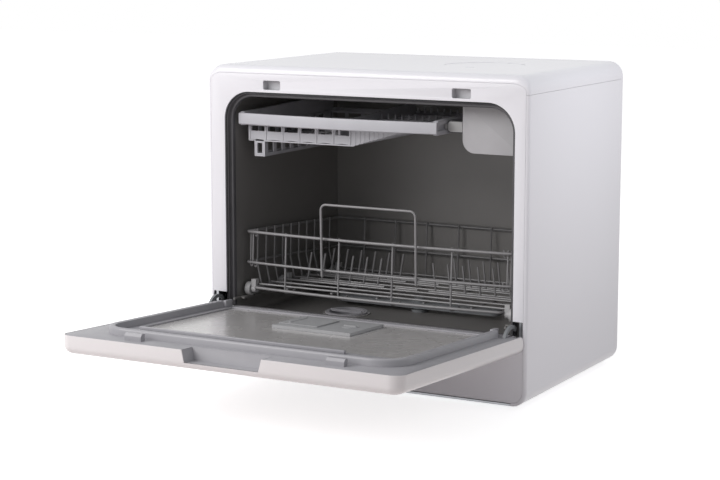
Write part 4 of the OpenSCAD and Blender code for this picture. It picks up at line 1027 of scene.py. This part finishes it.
# Front or rear wall of the bed: ribs outside, a wavy lower edge and openings near the top
def bedWall(y, outside):
    x0, x1, z0, z1 = bed["x0"] + 2.1, bed["x1"] - 0.1, bed["z"] + 2.1, tray["z0"] - 0.1
    count = 60
    run = [(x1 - x0) * i / count for i in range(count + 1)]
    lower = [(x0 + d, z0 + 0.5 - 0.5 * math.cos(2 * math.pi * d / bed["pitch"])) for d in run]
    wall = prismY("bedWall", lower + [(x1, z1), (x0, z1)], y, y + tray["wall"])
    cells = [x0 + bed["pitch"] * i for i in range(7)]
    edge = windows["margin"]
    cut(wall, [slab("window", (a + edge, y - 2, bed["sill"]),
                    (a + bed["pitch"] - edge, y + 5, bed["head"])) for a in cells[:-1]])
    ribs = [bar((min(max(a - 0.9, x0), x1 - 1.8), min(y, y + outside), z0 + 0.2),
                (min(max(a + 0.9, x0 + 1.8), x1), max(y, y + outside) + 0.3, z1 - 0.6), 0.3)
            for a in cells]
    return [wall, *ribs]


# Wall beside the ramp, notched below and ribbed on its outer face
def rampWall(y, outside):
    x0, x1, count, z0 = bed["x1"] + 0.1, shelf["ramp"], shelf["count"], bed["z"]
    rise = shelf["z"] - shelf["rampDrop"] - z0
    low = [(x0 + (x1 - x0) * i / (2 * count), z0 + rise * i / (2 * count) - i % 2)
           for i in range(2 * count + 1)]
    top = tray["z0"] - 0.1
    wall = rounded(prismY("rampWall", low + [(x1, top), (x0, top)], y, y + tray["wall"]), 0.3, 2, 50)
    ribs = []
    for i in range(1, count):
        x = x0 + (x1 - x0) * i / count
        ribs.append(bar((x - 0.6, min(y, y + outside), z0 + rise * i / count + 1),
                        (x + 0.6, max(y, y + outside) + 0.3, top - 0.6), 0.25))
    return [wall, *ribs]


def makeTray():
    w, z0 = tray["wall"], tray["z0"]
    front, back, bedZ = bed["y0"], bed["y1"], bed["z"]
    starts = [front + windows["first"] + windows["pitch"] * i for i in range(windows["count"])]
    openings = [(y, y + windows["width"]) for y in starts]
    parts = [trayBar(), trayRail(tray["x0"], 1), trayRail(tray["x1"], -1),
             bar((bed["x0"], tray["y1"] - 6, z0 - 2), (shelf["x1"], tray["y1"], z0 + 5), 0.9),
             windowWall("bedSide", (bed["x0"], front, bedZ + w), (bed["x0"] + w, back, z0),
                        "y", openings, bedZ + 5, z0 - 4)]
    parts += bedWall(front, -0.8) + bedWall(back - w, w + 0.5)
    parts.append(bar((bed["x0"], front, bedZ), (well["x0"], back, bedZ + w), 0.4))
    for x in (well["x0"], well["x1"] - w):
        parts.append(windowWall("wellSide", (x, front, well["z"] + w), (x + w, back, bedZ + w),
                                "y", openings, well["z"] + 5, bedZ - 2))
    for y in (front, back - w):
        parts.append(windowWall("wellEnd", (well["x0"] + w, y, well["z"] + w),
                                (well["x1"] - w, y + w, bedZ),
                                "x", [(well["x0"] + 5, well["x1"] - 5)], well["z"] + 5, bedZ - 3))
    edge, lead = windows["margin"], windows["first"] - windows["holeStart"]
    for low, high, z, columns in ((well["x0"], well["x1"], well["z"], 1),
                                  (well["x1"], bed["x1"], bedZ, 5)):
        sheet = slab("gridFloor", (low, front, z), (high, back, z + w))
        pitch = (high - low) / columns
        cut(sheet, [slab("hole", (low + pitch * i + edge, y0 - lead, z - 1),
                         (low + pitch * (i + 1) - edge, y1, z + 4))
                    for i in range(columns) for y0, y1 in openings])
        parts.append(rounded(sheet, 0.35, 2, 50))
    top = shelf["z"]
    drop = top - shelf["rampDrop"]
    slope = [(bed["x1"], bedZ), (shelf["ramp"], drop), (shelf["ramp"], drop + w), (bed["x1"], bedZ + w)]
    ramp = rounded(prismY("ramp", slope, front, front + 14), 0.4, 2)
    slat = bar((shelf["x0"], front + 4, top - 3), (shelf["x1"], front + 12, top - 0.6), 0.4)
    rows = [(0, w + 0.1 + shelf["step"] * i, 0) for i in range(shelf["count"])]
    shelfRows = [(0, shelf["step"] * i, 0) for i in range(shelf["count"])]
    parts += [repeated("rampSlats", ramp, rows, trayPlastic),
              repeated("shelfSlats", slat, shelfRows, trayPlastic)]
    parts += rampWall(front, -0.5) + rampWall(back - w, w)
    prong = lathe("prong", [(0.01, 0), (1.8, 0), (1.7, 3), (1.1, 8.6), (0.6, 9), (0.01, 9)], 12)
    spots = [(prongs["first"] + prongs["step"] * i, y, top + 1.9) for i in range(prongs["count"])
             for y in prongs["rows"]]
    parts.append(repeated("prongs", prong, spots, trayPlastic))
    x0, x1 = prongs["strip"]
    for y in prongs["rows"]:
        parts.append(bar((x0, y - 1.5, top - 0.6), (x1, y + 1.5, top + 2), 0.5))
    edge = [(front + 2.1, bedZ + 2.1), (back - 2.1, bedZ + 2.1), (back - 2.1, divider["knob"]),
            (back - 8, divider["knob"]), (back - 8, divider["rear"]), (front + 2.1, divider["front"])]
    parts.append(rounded(prismX("divider", edge, divider["x0"], divider["x1"]), 1.1, 3))
    settle(join("cutleryTray", parts), atCabinet, trayPlastic, "cutlery_tray", ["tray"])


# Slides of the tray: a clip on the duct cover, an arm behind it and a strip on the left wall
slide = dict(x0=119, x1=144.9, z0=400.5, z1=418.5, y0=50, y1=74, corner=6, inset=1.3, cap=2,
             tongueLow=405, tongueHigh=413, tongues=(52, 118), length=20, wallX=-235.9, grip=3.5)


def makeTrayGuides():
    x0, x1, z0, z1, y0, y1, r, e = (slide[k] for k in (
        "x0", "x1", "z0", "z1", "y0", "y1", "corner", "inset"))
    # The body is dark and the lighter cap is inset on it, so the body's edge round the cap is a painted
    # dark outline of shade.
    body = prismY("clipBody", roundRect(x0, z0, x1, z1, (r, 0, 0, r), 6), y0 + e, y1)
    settle(rounded(body, 0.4, 2, 50), atCabinet, darkPlasticAndShadeRim, "cabinet", slotName=slotOf["tray_guides"])
    face = roundRect(x0 + e, z0 + e, x1 - 0.4, z1 - e, (r - e, 0, 0, r - e), 6)
    cap = prismY("clipCap", face, y0, y0 + slide["cap"])
    low, high, wallX, into = (slide[k] for k in ("tongueLow", "tongueHigh", "wallX", "grip"))
    parts = [rounded(cap, 0.6, 3, 50)]
    for y in slide["tongues"]:
        parts.append(bar((tray["x1"] - into, y, low), (x0 + 2, y + slide["length"], high)))
        parts.append(bar((wallX + 1, y, low), (tray["x0"] + into, y + slide["length"], high)))
    y = slide["tongues"][1]
    parts.append(bar((x0 + 1, y, low), (x1, y + slide["length"], high)))
    parts.append(bar((wallX, slide["tongues"][0], low - 2.5), (tray["x0"] - 0.8, y + 22, high + 2.5)))
    settle(join("trayGuides", parts), atCabinet, clipPlastic, "cabinet", ["tray_guides"])


makeTray()
makeTrayGuides()
print("tray made")
